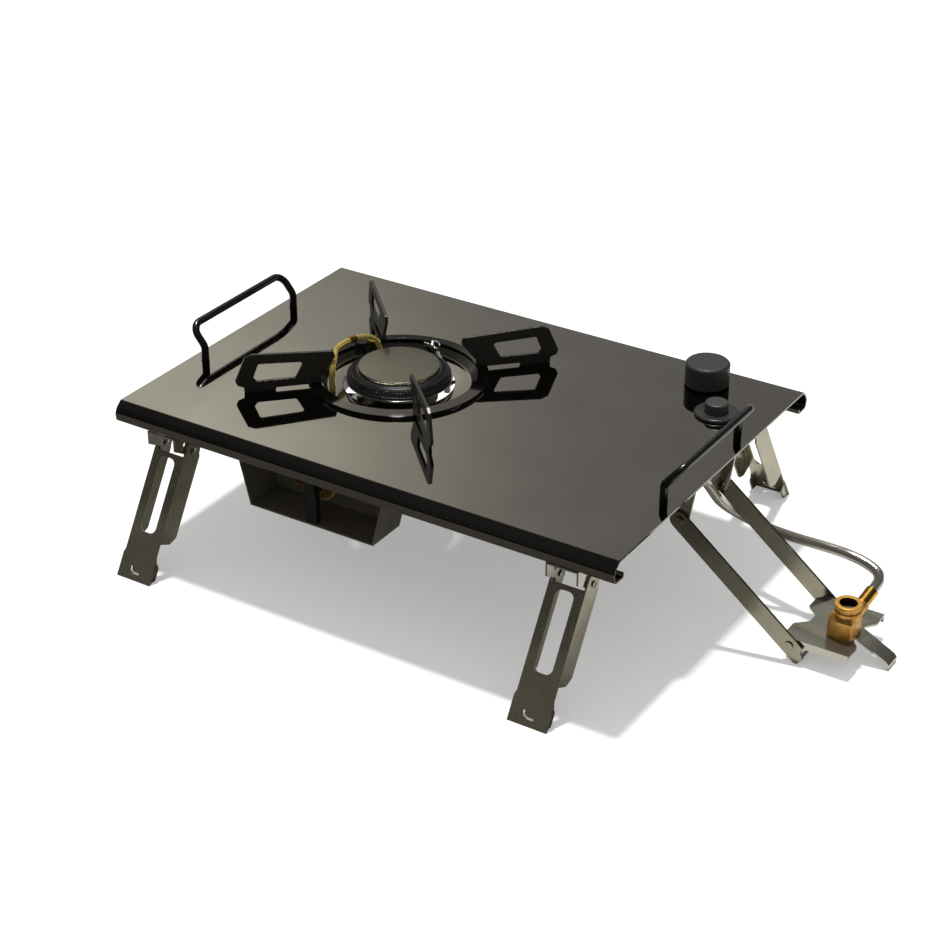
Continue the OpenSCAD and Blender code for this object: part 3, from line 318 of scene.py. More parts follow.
STAND_TURN = (0, 38.9, 0)
finishes = {
    "deck_steel": mirror_steel(),
    "bowl_steel": bright_steel("bowl steel", "#96928a", 0.08),
    "bright_steel": bright_steel(),
    "plated_steel": plated_steel(),
    "arm_steel": rolled_steel("arm steel", "#4e4b47", "#56534e", 0.3, "z", depth=0.0003, metallic=0.82),
    "leg_steel": rolled_steel("leg steel", "#a29b86", "#b2ab95", 0.24, "z", depth=0.0015, metallic=0.86),
    "bracket_steel": rolled_steel("bracket steel", "#b3b0a1", "#bfbcae", 0.15, "x", depth=0.0005, metallic=0.93),
    "stand_steel": rolled_steel("stand steel", "#8e8976", "#a39e8a", 0.25, "x", STAND_TURN),
    "scoop_steel": rolled_steel("scoop steel", "#6a6455", "#7b7565", 0.2, "x", depth=0.001, metallic=0.6),
    "ring_steel": bright_steel("ring steel", "#837f79", 0.1),
    "burner_black": enamel("burner enamel", "#161514", 0.32, 0.02),
    "burner_cap": rolled_steel("cap steel", "#7b786a", "#807d6d", 0.28, "x", depth=0.0003),
    "cast_base": rolled_steel("cast aluminium", "#6b6861", "#7f7b74", 0.45, "x", depth=0.02),
    "bronze_tube": turned_brass("bronze tube", "#8a6c48", "#b08d62", 0.3, (0.25, 12, 0.25), 0.5),
    "brass": turned_brass("turned brass", "#b5822f", "#dcae54", 0.26),
    "block_brass": turned_brass("block brass", "#b88338", "#dbaa5b", 0.42, metallic=0.83),
    # The dark brass also stands as painted shade on the threads inside the valve block's neck.
    "dark_brass": turned_brass("darkened brass", "#4a3216", "#6e4c22", 0.4),
    "heated_brass": heated_brass(),
    "copper_pipe": turned_brass("copper pipe", "#83542e", "#b3794a", 0.3, (6, 6, 6)),
    "ceramic": glazed(),
    "lead_cover": rubber(),
    "black_wire": enamel("wire lacquer", "#0f0f0e", 0.3, 0.006, 0.3),
    "knob_plastic": moulded("knob plastic", "#2b2927", 0.42),
    "bezel_plastic": moulded("bezel plastic", "#2a2826", 0.3, 0.004),
    "button_plastic": moulded("button plastic", "#2f2e2c", 0.45),
    "seal_rubber": rubber(),
    "braided_hose": braid(),
}
slots = {part["node"]: part["material_slot"] for part in frame["record"]["subparts"]}
carriers = {node: body for body, nodes in frame["record"]["behaviour"]["bodies"].items() for node in nodes}


# ---- Mesh helpers ----


def finish_mesh(name, mesh, node, material=None, angle=32):
    """A finished piece with the finish of its CAD node, or the given material; attach() makes it ride the node's body.
    """
    smooth = [True] * len(mesh.polygons)
    mesh.polygons.foreach_set("use_smooth", smooth)
    mesh.set_sharp_from_angle(angle=math.radians(angle))
    piece = bpy.data.objects.new(name, mesh)
    bpy.context.scene.collection.objects.link(piece)
    mesh.materials.clear()
    mesh.materials.append(material or finishes[slots[node]])
    return piece


def attach(piece, node):
    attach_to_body(piece, carriers[node])
    return piece


def baked(piece, *modifiers):
    """Applies modifiers, each a kind and its settings, to a piece's mesh."""
    for kind, settings in modifiers:
        made = piece.modifiers.new(kind.lower(), kind)
        for key, value in settings.items():
            setattr(made, key, value)
    depsgraph = bpy.context.evaluated_depsgraph_get()
    mesh = bpy.data.meshes.new_from_object(piece.evaluated_get(depsgraph))
    piece.modifiers.clear()
    old = piece.data
    piece.data = mesh
    bpy.data.meshes.remove(old)
    return piece


def softened(node, width, segments=2, angle=32, material=None):
    """The CAD node's shape with its doubles merged and its edges broken by width millimetres."""
    mesh = frame["nodes"][node].data.copy()
    work = bmesh.new()
    work.from_mesh(mesh)
    bmesh.ops.remove_doubles(work, verts=work.verts, dist=1e-6)
    bmesh.ops.dissolve_limit(work, angle_limit=math.radians(0.6), verts=work.verts, edges=work.edges)
    work.to_mesh(mesh)
    work.free()
    piece = finish_mesh(node + "_shape", mesh, node, material, angle)
    bevel = {"width": width * MM, "segments": segments, "limit_method": "ANGLE", "profile": 0.5}
    bevel["angle_limit"] = math.radians(angle)
    bevel["harden_normals"] = True
    baked(piece, ("BEVEL", bevel), ("WEIGHTED_NORMAL", {"keep_sharp": True, "weight": 100}))
    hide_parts(node)
    return attach(piece, node)


def slim_rivets(node, share):
    """The CAD node's rivets, which lie along X, with each made thinner about its own axis."""
    mesh = frame["nodes"][node].data.copy()
    work = bmesh.new()
    work.from_mesh(mesh)
    bmesh.ops.remove_doubles(work, verts=work.verts, dist=1e-6)
    waiting = set(work.verts)
    while waiting:
        group, edge = set(), [waiting.pop()]
        while edge:
            vertex = edge.pop()
            group.add(vertex)
            near = {e.other_vert(vertex) for e in vertex.link_edges} & waiting
            waiting -= near
            edge += near
        for axis in (1, 2):
            middle = (min(v.co[axis] for v in group) + max(v.co[axis] for v in group)) / 2
            for vertex in group:
                vertex.co[axis] = middle + (vertex.co[axis] - middle) * share
    work.to_mesh(mesh)
    work.free()
    piece = finish_mesh(node + "_shape", mesh, node)
    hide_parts(node)
    return attach(piece, node)


def corner(a, b, c, radius, steps=8):
    """Points of an arc that rounds the corner at b."""
    u, v = (a - b).normalized(), (c - b).normalized()
    half = u.angle(v) / 2
    if abs(math.pi / 2 - half) < 1e-4:
        return [b]
    start, middle = b + u * radius / math.tan(half), b + (u + v).normalized() * radius / math.sin(half)
    arm = (start - middle).normalized()
    sweep = math.pi - 2 * half
    turns = [sweep * i / steps for i in range(steps + 1)]
    return [middle + radius * (math.cos(t) * arm - math.sin(t) * u) for t in turns]


def bent(points, radii, steps=8):
    """A path with its inner corners rounded."""
    points = [Vector(p) for p in points]
    path = [points[0]]
    for i, radius in enumerate(radii, 1):
        path += corner(points[i - 1], points[i], points[i + 1], radius, steps)
    return path + [points[-1]]


def smooth_path(points, steps):
    """A Catmull-Rom curve through points."""
    points = [Vector(p) for p in points]
    last = len(points) - 1
    path = []
    for i in range(last):
        a, b, c, d = points[max(i - 1, 0)], points[i], points[i + 1], points[min(i + 2, last)]
        for k in range(steps):
            s = k / steps
            path.append(0.5 * (2 * b + (c - a) * s + (2 * a - 5 * b + 4 * c - d) * s**2 + (3 * b - a - 3 * c + d) * s**3))
    return path + [points[last]]


def tube(path, radius, sides=20, capped=True):
    """A mesh tube along a path of the deck's frame, with UVs: millimetres along, turns round."""
    path = [mm(*p) for p in path]
    rings, uvs = [], []
    work = bmesh.new()
    layer = work.loops.layers.uv.new("UVMap")
    travelled = 0.0
    side = None
    lengths = []
    for i, point in enumerate(path):
        forward = (path[min(i + 1, len(path) - 1)] - path[max(i - 1, 0)]).normalized()
        side = forward.orthogonal().normalized() if side is None else (side - side.dot(forward) * forward).normalized()
        other = forward.cross(side)
        if i:
            travelled += (point - path[i - 1]).length / MM
        lengths.append(travelled)
        turns = [2 * math.pi * k / sides for k in range(sides)]
        rings.append([work.verts.new(point + radius * MM * (math.cos(t) * side + math.sin(t) * other)) for t in turns])
    for i in range(len(path) - 1):
        for k in range(sides):
            n = (k + 1) % sides
            face = work.faces.new((rings[i][k], rings[i][n], rings[i + 1][n], rings[i + 1][k]))
            places = ((lengths[i], k), (lengths[i], k + 1), (lengths[i + 1], k + 1), (lengths[i + 1], k))
            for loop, (far, step) in zip(face.loops, places):
                loop[layer].uv = (far, step / sides)
    if capped:
        work.faces.new(list(reversed(rings[0])))
        work.faces.new(rings[-1])
    bmesh.ops.recalc_face_normals(work, faces=work.faces)
    mesh = bpy.data.meshes.new("tube")
    work.to_mesh(mesh)
    work.free()
    return mesh


def lathe(profile, centre, sides=96):
    """A closed profile of (radius, height) in millimetres, turned round a vertical axis at centre."""
    work = bmesh.new()
    rings = []
    for radius, height in profile:
        if radius < 1e-6:
            rings.append([work.verts.new(mm(centre[0], centre[1], height))] * sides)
            continue
        turns = [2 * math.pi * k / sides for k in range(sides)]
        places = [(centre[0] + radius * math.cos(t), centre[1] + radius * math.sin(t), height) for t in turns]
        rings.append([work.verts.new(mm(*p)) for p in places])
    for a, b in zip(rings, rings[1:]):
        for k in range(sides):
            n = (k + 1) % sides
            corners = []
            for vertex in (a[k], a[n], b[n], b[k]):
                if vertex not in corners:
                    corners.append(vertex)
            if len(corners) > 2:
                work.faces.new(corners)
    bmesh.ops.recalc_face_normals(work, faces=work.faces)
    mesh = bpy.data.meshes.new("turned")
    work.to_mesh(mesh)
    work.free()
    return mesh


def rounded(points, radii, steps=5):
    """An outline, open or closed by its caller, with arcs at its inner corners; profiles use it too."""
    flat = [Vector((p[0], p[1], 0)) for p in points]
    path = [flat[0]]
    for i, radius in enumerate(radii, 1):
        path += corner(flat[i - 1], flat[i], flat[i + 1], radius, steps) if radius else [flat[i]]
    path.append(flat[-1])
    return [(p.x, p.y) for p in path]


def uprights(posts, sides=96):
    """A mesh of upright cylinders, each (x, y, radius, low, high)."""
    work = bmesh.new()
    for x, y, radius, low, high in posts:
        place = Matrix.Translation(mm(x, y, (low + high) / 2))
        bmesh.ops.create_cone(
            work, cap_ends=True, segments=sides, radius1=radius * MM, radius2=radius * MM,
            depth=(high - low) * MM, matrix=place,
        )
    mesh = bpy.data.meshes.new("uprights")
    work.to_mesh(mesh)
    work.free()
    return mesh


def plate(middle, size, turn, edge=0.2):
    """A box mesh with broken edges, turned about its upright axis by an angle in degrees."""
    work = bmesh.new()
    place = Matrix.Translation(mm(*middle)) @ Matrix.Rotation(math.radians(turn), 4, "Z")
    bmesh.ops.create_cube(work, size=1, matrix=place @ Matrix.Diagonal([MM * s for s in size] + [1]))
    bmesh.ops.bevel(work, geom=work.edges, offset=edge * MM, segments=2, affect="EDGES", profile=0.5)
    mesh = bpy.data.meshes.new("plate")
    work.to_mesh(mesh)
    work.free()
    return mesh


# ---- Deck ----

SHEET = 1.2
RIM_TURN = 5.7
RIM_DROP = 13.9
RIM_OUT = 6.2


def deck_outline():
    """The rolled front rim of the deck's section, from its inner edge to the flat top, as (y, z)."""
    edge = -HALF_DEPTH
    points = [
        (edge + RIM_TURN, -RIM_DROP + 3.4), (edge + RIM_TURN, -RIM_DROP), (edge - RIM_OUT + 1, -RIM_DROP + 0.4),
        (edge - RIM_OUT, -7.2), (edge - 3.9, -3.2), (edge, 0), (0, 0),
    ]
    return rounded(points, [1.6, 3.0, 4.2, 3.4, 1.5], 8)


def make_deck():
    outer = deck_outline()
    inner = []
    for i, (y, z) in enumerate(outer):
        before, after = outer[max(i - 1, 0)], outer[min(i + 1, len(outer) - 1)]
        run = Vector((after[0] - before[0], after[1] - before[1])).normalized()
        inner.append((y + run.y * SHEET, z - run.x * SHEET))
    half = outer + inner[::-1]
    whole = outer[:-1] + [(-y, z) for y, z in outer[:-1]][::-1]
    under = inner[:-1] + [(-y, z) for y, z in inner[:-1]][::-1]
    del half
    section = whole + under[::-1]
    work = bmesh.new()
    ends = [[work.verts.new(mm(x, y, z)) for y, z in section] for x in (-DECK_LENGTH / 2, DECK_LENGTH / 2)]
    count = len(section)
    for k in range(count):
        n = (k + 1) % count
        work.faces.new((ends[0][k], ends[1][k], ends[1][n], ends[0][n]))
    half_count = count // 2
    for end in ends:
        for k in range(half_count - 1):
            work.faces.new((end[k], end[k + 1], end[count - 2 - k], end[count - 1 - k]))
    bmesh.ops.recalc_face_normals(work, faces=work.faces)
    mesh = bpy.data.meshes.new("deck")
    work.to_mesh(mesh)
    work.free()
    piece = finish_mesh("deck", mesh, "top_plate", angle=25)
    holes = [(BURNER_X, 0, 53.1), (122.5, 97.5, 5.3), (146, 64.6, 8.9)]
    holes += [(sx * 169, sy * 48, 2.8) for sx in (-1, 1) for sy in (-1, 1)]
    cutter = bpy.data.objects.new("cutter", uprights([(x, y, r, -4, 4) for x, y, r in holes]))
    bpy.context.scene.collection.objects.link(cutter)
    boolean = {"object": cutter, "operation": "DIFFERENCE", "solver": "EXACT"}
    baked(piece, ("BOOLEAN", boolean), ("WEIGHTED_NORMAL", {"keep_sharp": True, "weight": 100}))
    bpy.data.objects.remove(cutter)
    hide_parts("top_plate")
    attach(piece, "top_plate")


make_deck()


# ---- Handles ----


def make_handle(side, node):
    foot, bar = side * 169, side * 178.8
    path = bent(
        [(foot, -48, -6), (foot, -48, 10.5), (bar, -48, 22.5), (bar, 48, 22.5), (foot, 48, 10.5), (foot, 48, -6)],
        [6, 8, 8, 6],
        12,
    )
    piece = finish_mesh(node + "_wire", tube(path, 2.5, 28), node, angle=50)
    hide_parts(node)
    attach(piece, node)


make_handle(-1, "handle_left")
make_handle(1, "handle_right")


# ---- Burner ----

SPARK_X, SPARK_Y = 12, 38
HEAD_SEAT = 0.6
HEAD_TOP = 6.8
CAP_TOP = 9.0


def make_burner_head():
    """The ported skirt as a turned body; port_teeth adds the rows of small teeth that stand between the flame ports."""
    profile = rounded(
        [(31, HEAD_SEAT), (34, HEAD_SEAT), (33.6, 1.9), (32.6, 2.1), (29.2, 5.6), (28.2, 6.2), (27.4, HEAD_TOP),
         (23, HEAD_TOP), (23, 5.2), (31, HEAD_SEAT)],
        [0.3, 0.3, 0.4, 0.4, 0.3, 0.3, 0, 0],
        3,
    )
    piece = finish_mesh("burner_skirt", lathe(profile[:-1] + [profile[0]], (BURNER_X, 0), 144), "burner_head")
    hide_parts("burner_head")
    attach(piece, "burner_head")


def port_teeth(rows):
    """Teeth round the skirt. Each row is (radius, height, count, turn in degrees)."""
    tree = bpy.data.node_groups.new("port teeth", "GeometryNodeTree")
    tree.interface.new_socket("Geometry", in_out="OUTPUT", socket_type="NodeSocketGeometry")
    nodes, links = tree.nodes, tree.links
    out = nodes.new("NodeGroupOutput")
    join = nodes.new("GeometryNodeJoinGeometry")
    for number, (radius, height, count, turn) in enumerate(rows):
        sizes = {"Radius": radius * MM, "Height": height * MM, "Turn": math.radians(turn)}
        for key, value in sizes.items():
            socket = tree.interface.new_socket(f"{key} {number + 1}", in_out="INPUT", socket_type="NodeSocketFloat")
            socket.default_value = value
        socket = tree.interface.new_socket(f"Count {number + 1}", in_out="INPUT", socket_type="NodeSocketInt")
        socket.default_value = count
    given = nodes.new("NodeGroupInput")
    for number in range(len(rows)):
        circle = nodes.new("GeometryNodeMeshCircle")
        links.new(given.outputs[f"Radius {number + 1}"], circle.inputs["Radius"])
        links.new(given.outputs[f"Count {number + 1}"], circle.inputs["Vertices"])
        tooth = nodes.new("GeometryNodeMeshCube")
        tooth.inputs["Size"].default_value = (1.3 * MM, 1.15 * MM, 0.9 * MM)
        aim = nodes.new("FunctionNodeAlignEulerToVector")
        aim.axis = "X"
        position = nodes.new("GeometryNodeInputPosition")
        links.new(position.outputs[0], aim.inputs["Vector"])
        spread = nodes.new("GeometryNodeInstanceOnPoints")
        links.new(circle.outputs["Mesh"], spread.inputs["Points"])
        links.new(tooth.outputs["Mesh"], spread.inputs["Instance"])
        links.new(aim.outputs["Rotation"], spread.inputs["Rotation"])
        lift = nodes.new("GeometryNodeTransform")
        turn_vector, lift_vector = nodes.new("ShaderNodeCombineXYZ"), nodes.new("ShaderNodeCombineXYZ")
        links.new(given.outputs[f"Turn {number + 1}"], turn_vector.inputs["Z"])
        links.new(given.outputs[f"Height {number + 1}"], lift_vector.inputs["Z"])
        links.new(spread.outputs["Instances"], lift.inputs["Geometry"])
        links.new(turn_vector.outputs[0], lift.inputs["Rotation"])
        links.new(lift_vector.outputs[0], lift.inputs["Translation"])
        links.new(lift.outputs["Geometry"], join.inputs["Geometry"])
    shift = nodes.new("GeometryNodeTransform")
    shift.inputs["Translation"].default_value = mm(BURNER_X, 0, 0)
    realize, paint = nodes.new("GeometryNodeRealizeInstances"), nodes.new("GeometryNodeSetMaterial")
    paint.inputs["Material"].default_value = finishes["burner_black"]
    links.new(join.outputs["Geometry"], shift.inputs["Geometry"])
    links.new(shift.outputs["Geometry"], realize.inputs["Geometry"])
    links.new(realize.outputs["Geometry"], paint.inputs["Geometry"])
    links.new(paint.outputs["Geometry"], out.inputs["Geometry"])
    piece = finish_mesh("port_teeth", bpy.data.meshes.new("port teeth"), "burner_head")
    baked(piece, ("NODES", {"node_group": tree}))
    attach(piece, "burner_head")


def make_burner_cap():
    profile = rounded(
        [(0, 5.4), (22.6, 5.4), (22.6, HEAD_TOP), (26.4, HEAD_TOP), (26.4, 8.5), (26, CAP_TOP), (0, CAP_TOP)],
        [0, 0, 0.3, 0.3, 0.4],
        5,
    )
    piece = finish_mesh("burner_lid", lathe(profile, (BURNER_X, 0), 144), "burner_cap")
    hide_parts("burner_cap")
    attach(piece, "burner_cap")


def swept_arc(profile, start, end, steps=12):
    """A closed profile of (radius, height), swept round the burner between two angles in degrees."""
    work = bmesh.new()
    ends = []
    for i in range(steps + 1):
        turn = math.radians(start + (end - start) * i / steps)
        across, along = math.cos(turn), math.sin(turn)
        ends.append([work.verts.new(mm(BURNER_X + r * across, r * along, z)) for r, z in profile])
    count = len(profile)
    for a, b in zip(ends, ends[1:]):
        for k in range(count):
            n = (k + 1) % count
            work.faces.new((a[k], a[n], b[n], b[k]))
    work.faces.new(ends[0])
    work.faces.new(ends[-1][::-1])
    bmesh.ops.recalc_face_normals(work, faces=work.faces)
    mesh = bpy.data.meshes.new("swept")
    work.to_mesh(mesh)
    work.free()
    return mesh


SHELF_DROP = 3.6
WELL_RADIUS = 36
STRAP_TURNS = (-140, -20, 100)
STRAP_HALF = 13


def make_bowl():
    """The drip bowl: a rim on the deck, a steep side, a flat shelf, and straps that hold the burner."""
    top, under = -SHELF_DROP, -SHELF_DROP - 0.8
    profile = rounded(
        [(57.2, 0.05), (57.2, 0.8), (52, 0.8), (46.5, top), (WELL_RADIUS, top), (WELL_RADIUS, under),
         (47.3, under), (52.8, 0.05), (57.2, 0.05)],
        [0.3, 0.3, 2.2, 0.3, 0.3, 2.6, 0.5],
        6,
    )
    piece = finish_mesh("bowl", lathe(profile, (BURNER_X, 0), 160), "drip_bowl", angle=40)
    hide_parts("drip_bowl")
    attach(piece, "drip_bowl")
    flange = [(15.4, -13.2), (15.4, -14), (25, -14), (25, -13.2), (15.4, -13.2)]
    attach(finish_mesh("bowl_flange", lathe(flange, (BURNER_X, 0), 96), "drip_bowl"), "drip_bowl")
    strap = [(WELL_RADIUS, under), (36.8, under), (36.8, -14), (25, -14), (25, -13.2), (WELL_RADIUS, -13.2)]
    for number, turn in enumerate(STRAP_TURNS):
        mesh = swept_arc(strap, turn - STRAP_HALF, turn + STRAP_HALF)
        attach(finish_mesh(f"bowl_strap_{number + 1}", mesh, "drip_bowl"), "drip_bowl")
    # A dark sheet in black enamel closes the window on the vaporiser's side: painted shade that keeps the lit floor
    # from showing through.
    shade_sheet = [(36.1, under), (36.7, under), (36.7, -14), (36.1, -14)]
    mesh = swept_arc(shade_sheet, 113, 207, 40)
    attach(finish_mesh("bowl_shade_sheet", mesh, "drip_bowl", finishes["burner_black"]), "drip_bowl")


def make_vaporiser():
    rise = [
        (-28, -34.6, 5), (-28.3, -33.6, 11.6), (-30.6, -28.6, 15.2), (-35.4, -20.6, 15.6), (-40, -12, 14.8),
        (-41.8, -3, 14), (-41.6, 6, 13.2), (-39.6, 14, 12.4), (-37, 20, 10.6), (-34.2, 24.6, 6.5), (-33.1, 26.3, 0),
    ]
    path = [(-30, -31.5, -19), (-28.6, -33.6, -7)] + [tuple(p) for p in smooth_path(rise, 5)] + [(-33, 26.5, -4), (-33, 26.5, -19)]
    placed = [(x + BURNER_X, y, z) for x, y, z in path]
    piece = finish_mesh("vaporiser_loop", tube(placed, 2, 20), "vaporiser_tube", angle=50)
    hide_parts("vaporiser_tube")
    attach(piece, "vaporiser_tube")
    # A brazed collar stands out on the loop where its two lengths meet.
    joint = [(x + BURNER_X, y, z) for x, y, z in ((-41.9, 4, 13.5), (-41.5, 7, 13.2), (-40.7, 10, 12.8))]
    collar = finish_mesh("vaporiser_collar", tube(joint, 2.3, 20), "vaporiser_fittings", angle=40)
    attach(collar, "vaporiser_fittings")
    # A dark clip plate hangs from the loop, and the unions stay under the bowl's shelf.
    clip = plate((BURNER_X - 36.6, 9.8, 6.4), (7.6, 0.9, 9), 32)
    attach(finish_mesh("vaporiser_clip", clip, "vaporiser_fittings", finishes["burner_black"]), "vaporiser_fittings")
    unions = [(BURNER_X + x, y, r, low, high) for x, y, r, low, high in (
        (-30, -31.5, 3, -14, -9), (-30, -31.5, 3.2, -24, -19), (-33, 26.5, 3.2, -24, -19),
    )]
    piece = finish_mesh("vaporiser_unions", uprights(unions, 32), "vaporiser_fittings")
    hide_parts("vaporiser_fittings")
    attach(piece, "vaporiser_fittings")


def make_electrode():
    """The spark wire beside the skirt in a white sleeve, with a forked tip and the dark clip behind it."""
    foot = (SPARK_X, SPARK_Y, -SHELF_DROP - 0.4)
    wire = [foot, (10.6, 38, -2), (7.8, 36.8, 0), (7.2, 35.3, 2.5), (6.6, 35.6, 5.4), (4.6, 36.3, 6.8)]
    left = [(6.6, 35.6, 5.4), (4.6, 36.3, 6.8), (1, 37, 7.6), (-1.6, 37, 8), (-5.1, 36.7, 8.5)]
    right = [(1, 37, 7.6), (-0.4, 40, 9), (3, 41, 8.8), (5.6, 39.2, 7.6), (4.6, 37.6, 6.2)]
    for name, points, radius in (("spark_wire", wire, 0.8), ("spark_fork", left, 0.4), ("spark_loop", right, 0.35)):
        path = [(BURNER_X + x, y, z) for x, y, z in smooth_path(points, 5)]
        piece = finish_mesh(name, tube(path, radius, 14), "igniter_electrode", angle=50)
        attach(piece, "igniter_electrode")
        if name == "spark_wire":
            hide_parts("igniter_electrode")
    sleeve = [(BURNER_X + x, y, z) for x, y, z in smooth_path([(7.8, 36.8, -0.4), (7.2, 35.4, 2.5), (6.7, 35.6, 5)], 4)]
    attach(finish_mesh("spark_sleeve", tube(sleeve, 1.15, 20), "electrode_insulator", angle=50), "electrode_insulator")
    body = uprights([(BURNER_X + SPARK_X, SPARK_Y, 2.2, -24, -SHELF_DROP - 0.3)], 32)
    piece = finish_mesh("spark_body", body, "electrode_insulator")
    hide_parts("electrode_insulator")
    attach(piece, "electrode_insulator")
    clip = finish_mesh("spark_clip", plate((BURNER_X + 0.2, 36, 4.2), (6.4, 1.2, 6.4), 4), "igniter_electrode",
                       finishes["burner_black"])
    attach(clip, "igniter_electrode")
    for number, x in enumerate((-1.7, 1.9)):
        stud = [(BURNER_X + x, 35.6, 4.4), (BURNER_X + x + 0.05, 34.9, 4.4)]
        mesh = tube(stud, 0.85, 20)
        attach(finish_mesh(f"spark_stud_{number + 1}", mesh, "igniter_electrode"), "igniter_electrode")


make_burner_head()
port_teeth([(33.0, 2.7, 90, 0), (31.8, 3.9, 90, 2), (30.6, 5.1, 90, 0)])
make_burner_cap()
make_bowl()
make_vaporiser()
make_electrode()


# ---- Fuel hose ----

HOSE_RADIUS = 3.25
HOSE_ROUTE = [
    (276.5, 28.4, -60.2), (274.8, 31.3, -57.3), (270.4, 33.2, -55.4), (263, 34.8, -53.9), (254, 36, -53.2),
    (247, 37, -53.3), (234, 38, -53.8), (220, 40, -55.3), (208, 42.8, -56.8), (196.5, 45.6, -58),
    (187, 47.8, -58.3), (179.4, 48.6, -57.2), (173.2, 47.2, -54.6), (169, 43.6, -50.6), (166.6, 39.2, -46),
    (165.4, 34.6, -41), (165, 30, -35.6), (164.8, 25.4, -30), (164.6, 21, -24.8), (163.8, 16.8, -20),
    (160.6, 13.2, -16.2), (155, 11.6, -13.8), (147.5, 12.6, -12.6), (137, 19, -12.5), (128, 31, -12.5),
    (123.5, 46, -13.5),
]
# The hose is two lengths: one runs between the bracket and the stand, one between the stand and the stove.
HOSE_SPLIT = 7


def hose_line():
    """The hose's middle line: from the ferrule, along the route, to the nut at the gas valve."""
    foot = Vector((268.67 + 2.5, 8, -86.0 + 15.3 - 2.5))
    lean, swing = math.radians(61), math.radians(14)
    aim = Vector((math.sin(lean) * math.sin(swing), math.sin(lean) * math.cos(swing), math.cos(lean)))
    start = [foot + aim * 12.65, foot + aim * 18.5]
    return start, smooth_path(HOSE_ROUTE, 6), [Vector((122.5, 64.5, -15)), Vector((122.5, 76.5, -15))]


def make_hose():
    start, route, end = hose_line()
    cut = HOSE_SPLIT * 6
    outer = start + route[: cut + 1]
    inner = route[cut:] + end
    pieces = []
    for name, path in (("hose_at_canister", outer), ("hose_at_stove", inner)):
        piece = finish_mesh(name, tube([tuple(p) for p in path], HOSE_RADIUS, 24), "fuel_hose", angle=60)
        pieces.append(piece)
    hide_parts("fuel_hose")
    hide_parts("fuel_hose")
    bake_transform(pieces[0])
    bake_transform(pieces[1])


make_hose()


# ---- Sheet and turned pieces that keep their CAD shape, with broken edges ----

ARMS = ["pan_arm_front_right", "pan_arm_back_right", "pan_arm_back_left", "pan_arm_front_left"]
LEGS = [f"leg_{a}_{b}" for a in ("front", "back") for b in ("left", "right")]
EARS = [f"leg_bracket_{a}_{b}" for a in ("front", "back") for b in ("left", "right")]
for node in ARMS:
    softened(node, 0.3)
for node in LEGS:
    softened(node, 0.35, 3)
for node in EARS + ["stand_hinge_bracket", "air_scoop"]:
    softened(node, 0.25)
for node in ("stand_arm_front", "stand_arm_rear", "canister_bracket"):
    softened(node, 0.35, 3)
softened("trivet_ring", 0.15, 3)
slim_rivets("leg_pivot_rivets", 0.62)
softened("burner_rim", 0.25)
softened("control_knob", 0.5, 4)
softened("igniter_button", 0.5, 4)
softened("igniter_bezel", 0.3, 3)
softened("canister_valve_block", 0.35, 3)
for node in ("hose_ferrule", "hose_nut", "valve_nut"):
    softened(node, 0.25, 3)
for node in ("stand_pivot_rivets", "bracket_pivot_rivets"):
    softened(node, 0.25, 3, material=finishes["stand_steel"])
for node in ("leg_bracket_rivets", "handle_nuts"):
    softened(node, 0.25, 3)
for node in ("mixing_tube", "gas_valve_body", "burner_base", "canister_pin", "valve_spindle"):
    softened(node, 0.2)
# Painted shade: the jet holder takes the black enamel so that it sinks into the dark inside of the air scoop.
softened("jet_holder", 0.2, material=finishes["burner_black"])

NECK_AT = (268.67, 3)
NECK_LOW = -70.7
NECK_TOP = -64
THREAD_PITCH = 0.907
THREADS = 7


def make_neck():
    """The valve block's neck: a lip and a collar outside, and threads over a black washer inside."""
    lip = rounded(
        [(5.6, NECK_LOW), (8.2, NECK_LOW), (8.2, NECK_LOW + 2), (7.5, NECK_LOW + 2.6), (7.5, NECK_TOP - 2.6),
         (8.4, NECK_TOP - 2.2), (8.4, NECK_TOP + 0.05), (5.6, NECK_TOP + 0.05), (5.6, NECK_LOW)],
        [0, 0.5, 0.3, 0.3, 0.3, 0.6, 0.3],
        4,
    )
    attach(finish_mesh("neck_lip", lathe(lip, NECK_AT, 72), "canister_valve_block"), "canister_valve_block")
    threads = [(5.54, NECK_TOP - 0.6)]
    for turn in range(THREADS):
        crest = NECK_TOP - 0.6 - THREAD_PITCH * (turn + 0.5)
        threads += [(5.15, crest), (5.54, crest - THREAD_PITCH / 2)]
    threads += [(5.54, NECK_TOP - 7.4), (5.54, NECK_TOP - 0.6)]
    # Painted shade: the threads take the dark brass so that the inside of the neck looks dark.
    mesh = lathe(threads, NECK_AT, 72)
    attach(finish_mesh("neck_threads", mesh, "canister_valve_block", finishes["dark_brass"]), "canister_valve_block")
    washer = [(1.2, NECK_TOP - 5), (5.3, NECK_TOP - 5), (5.3, NECK_TOP - 6), (1.2, NECK_TOP - 6), (1.2, NECK_TOP - 5)]
    attach(finish_mesh("neck_washer", lathe(washer, NECK_AT, 48), "neck_seal"), "neck_seal")


make_neck()

# CAD nodes that stay as they are take their finish.
for node, item in frame["nodes"].items():
    item.data.materials.clear()
    item.data.materials.append(finishes[slots[node]])


# ---- Floor and light ----


# The dark cloth fades in between these two places along Y, in metres.
CLOTH_EDGE = (-0.10, -0.13)


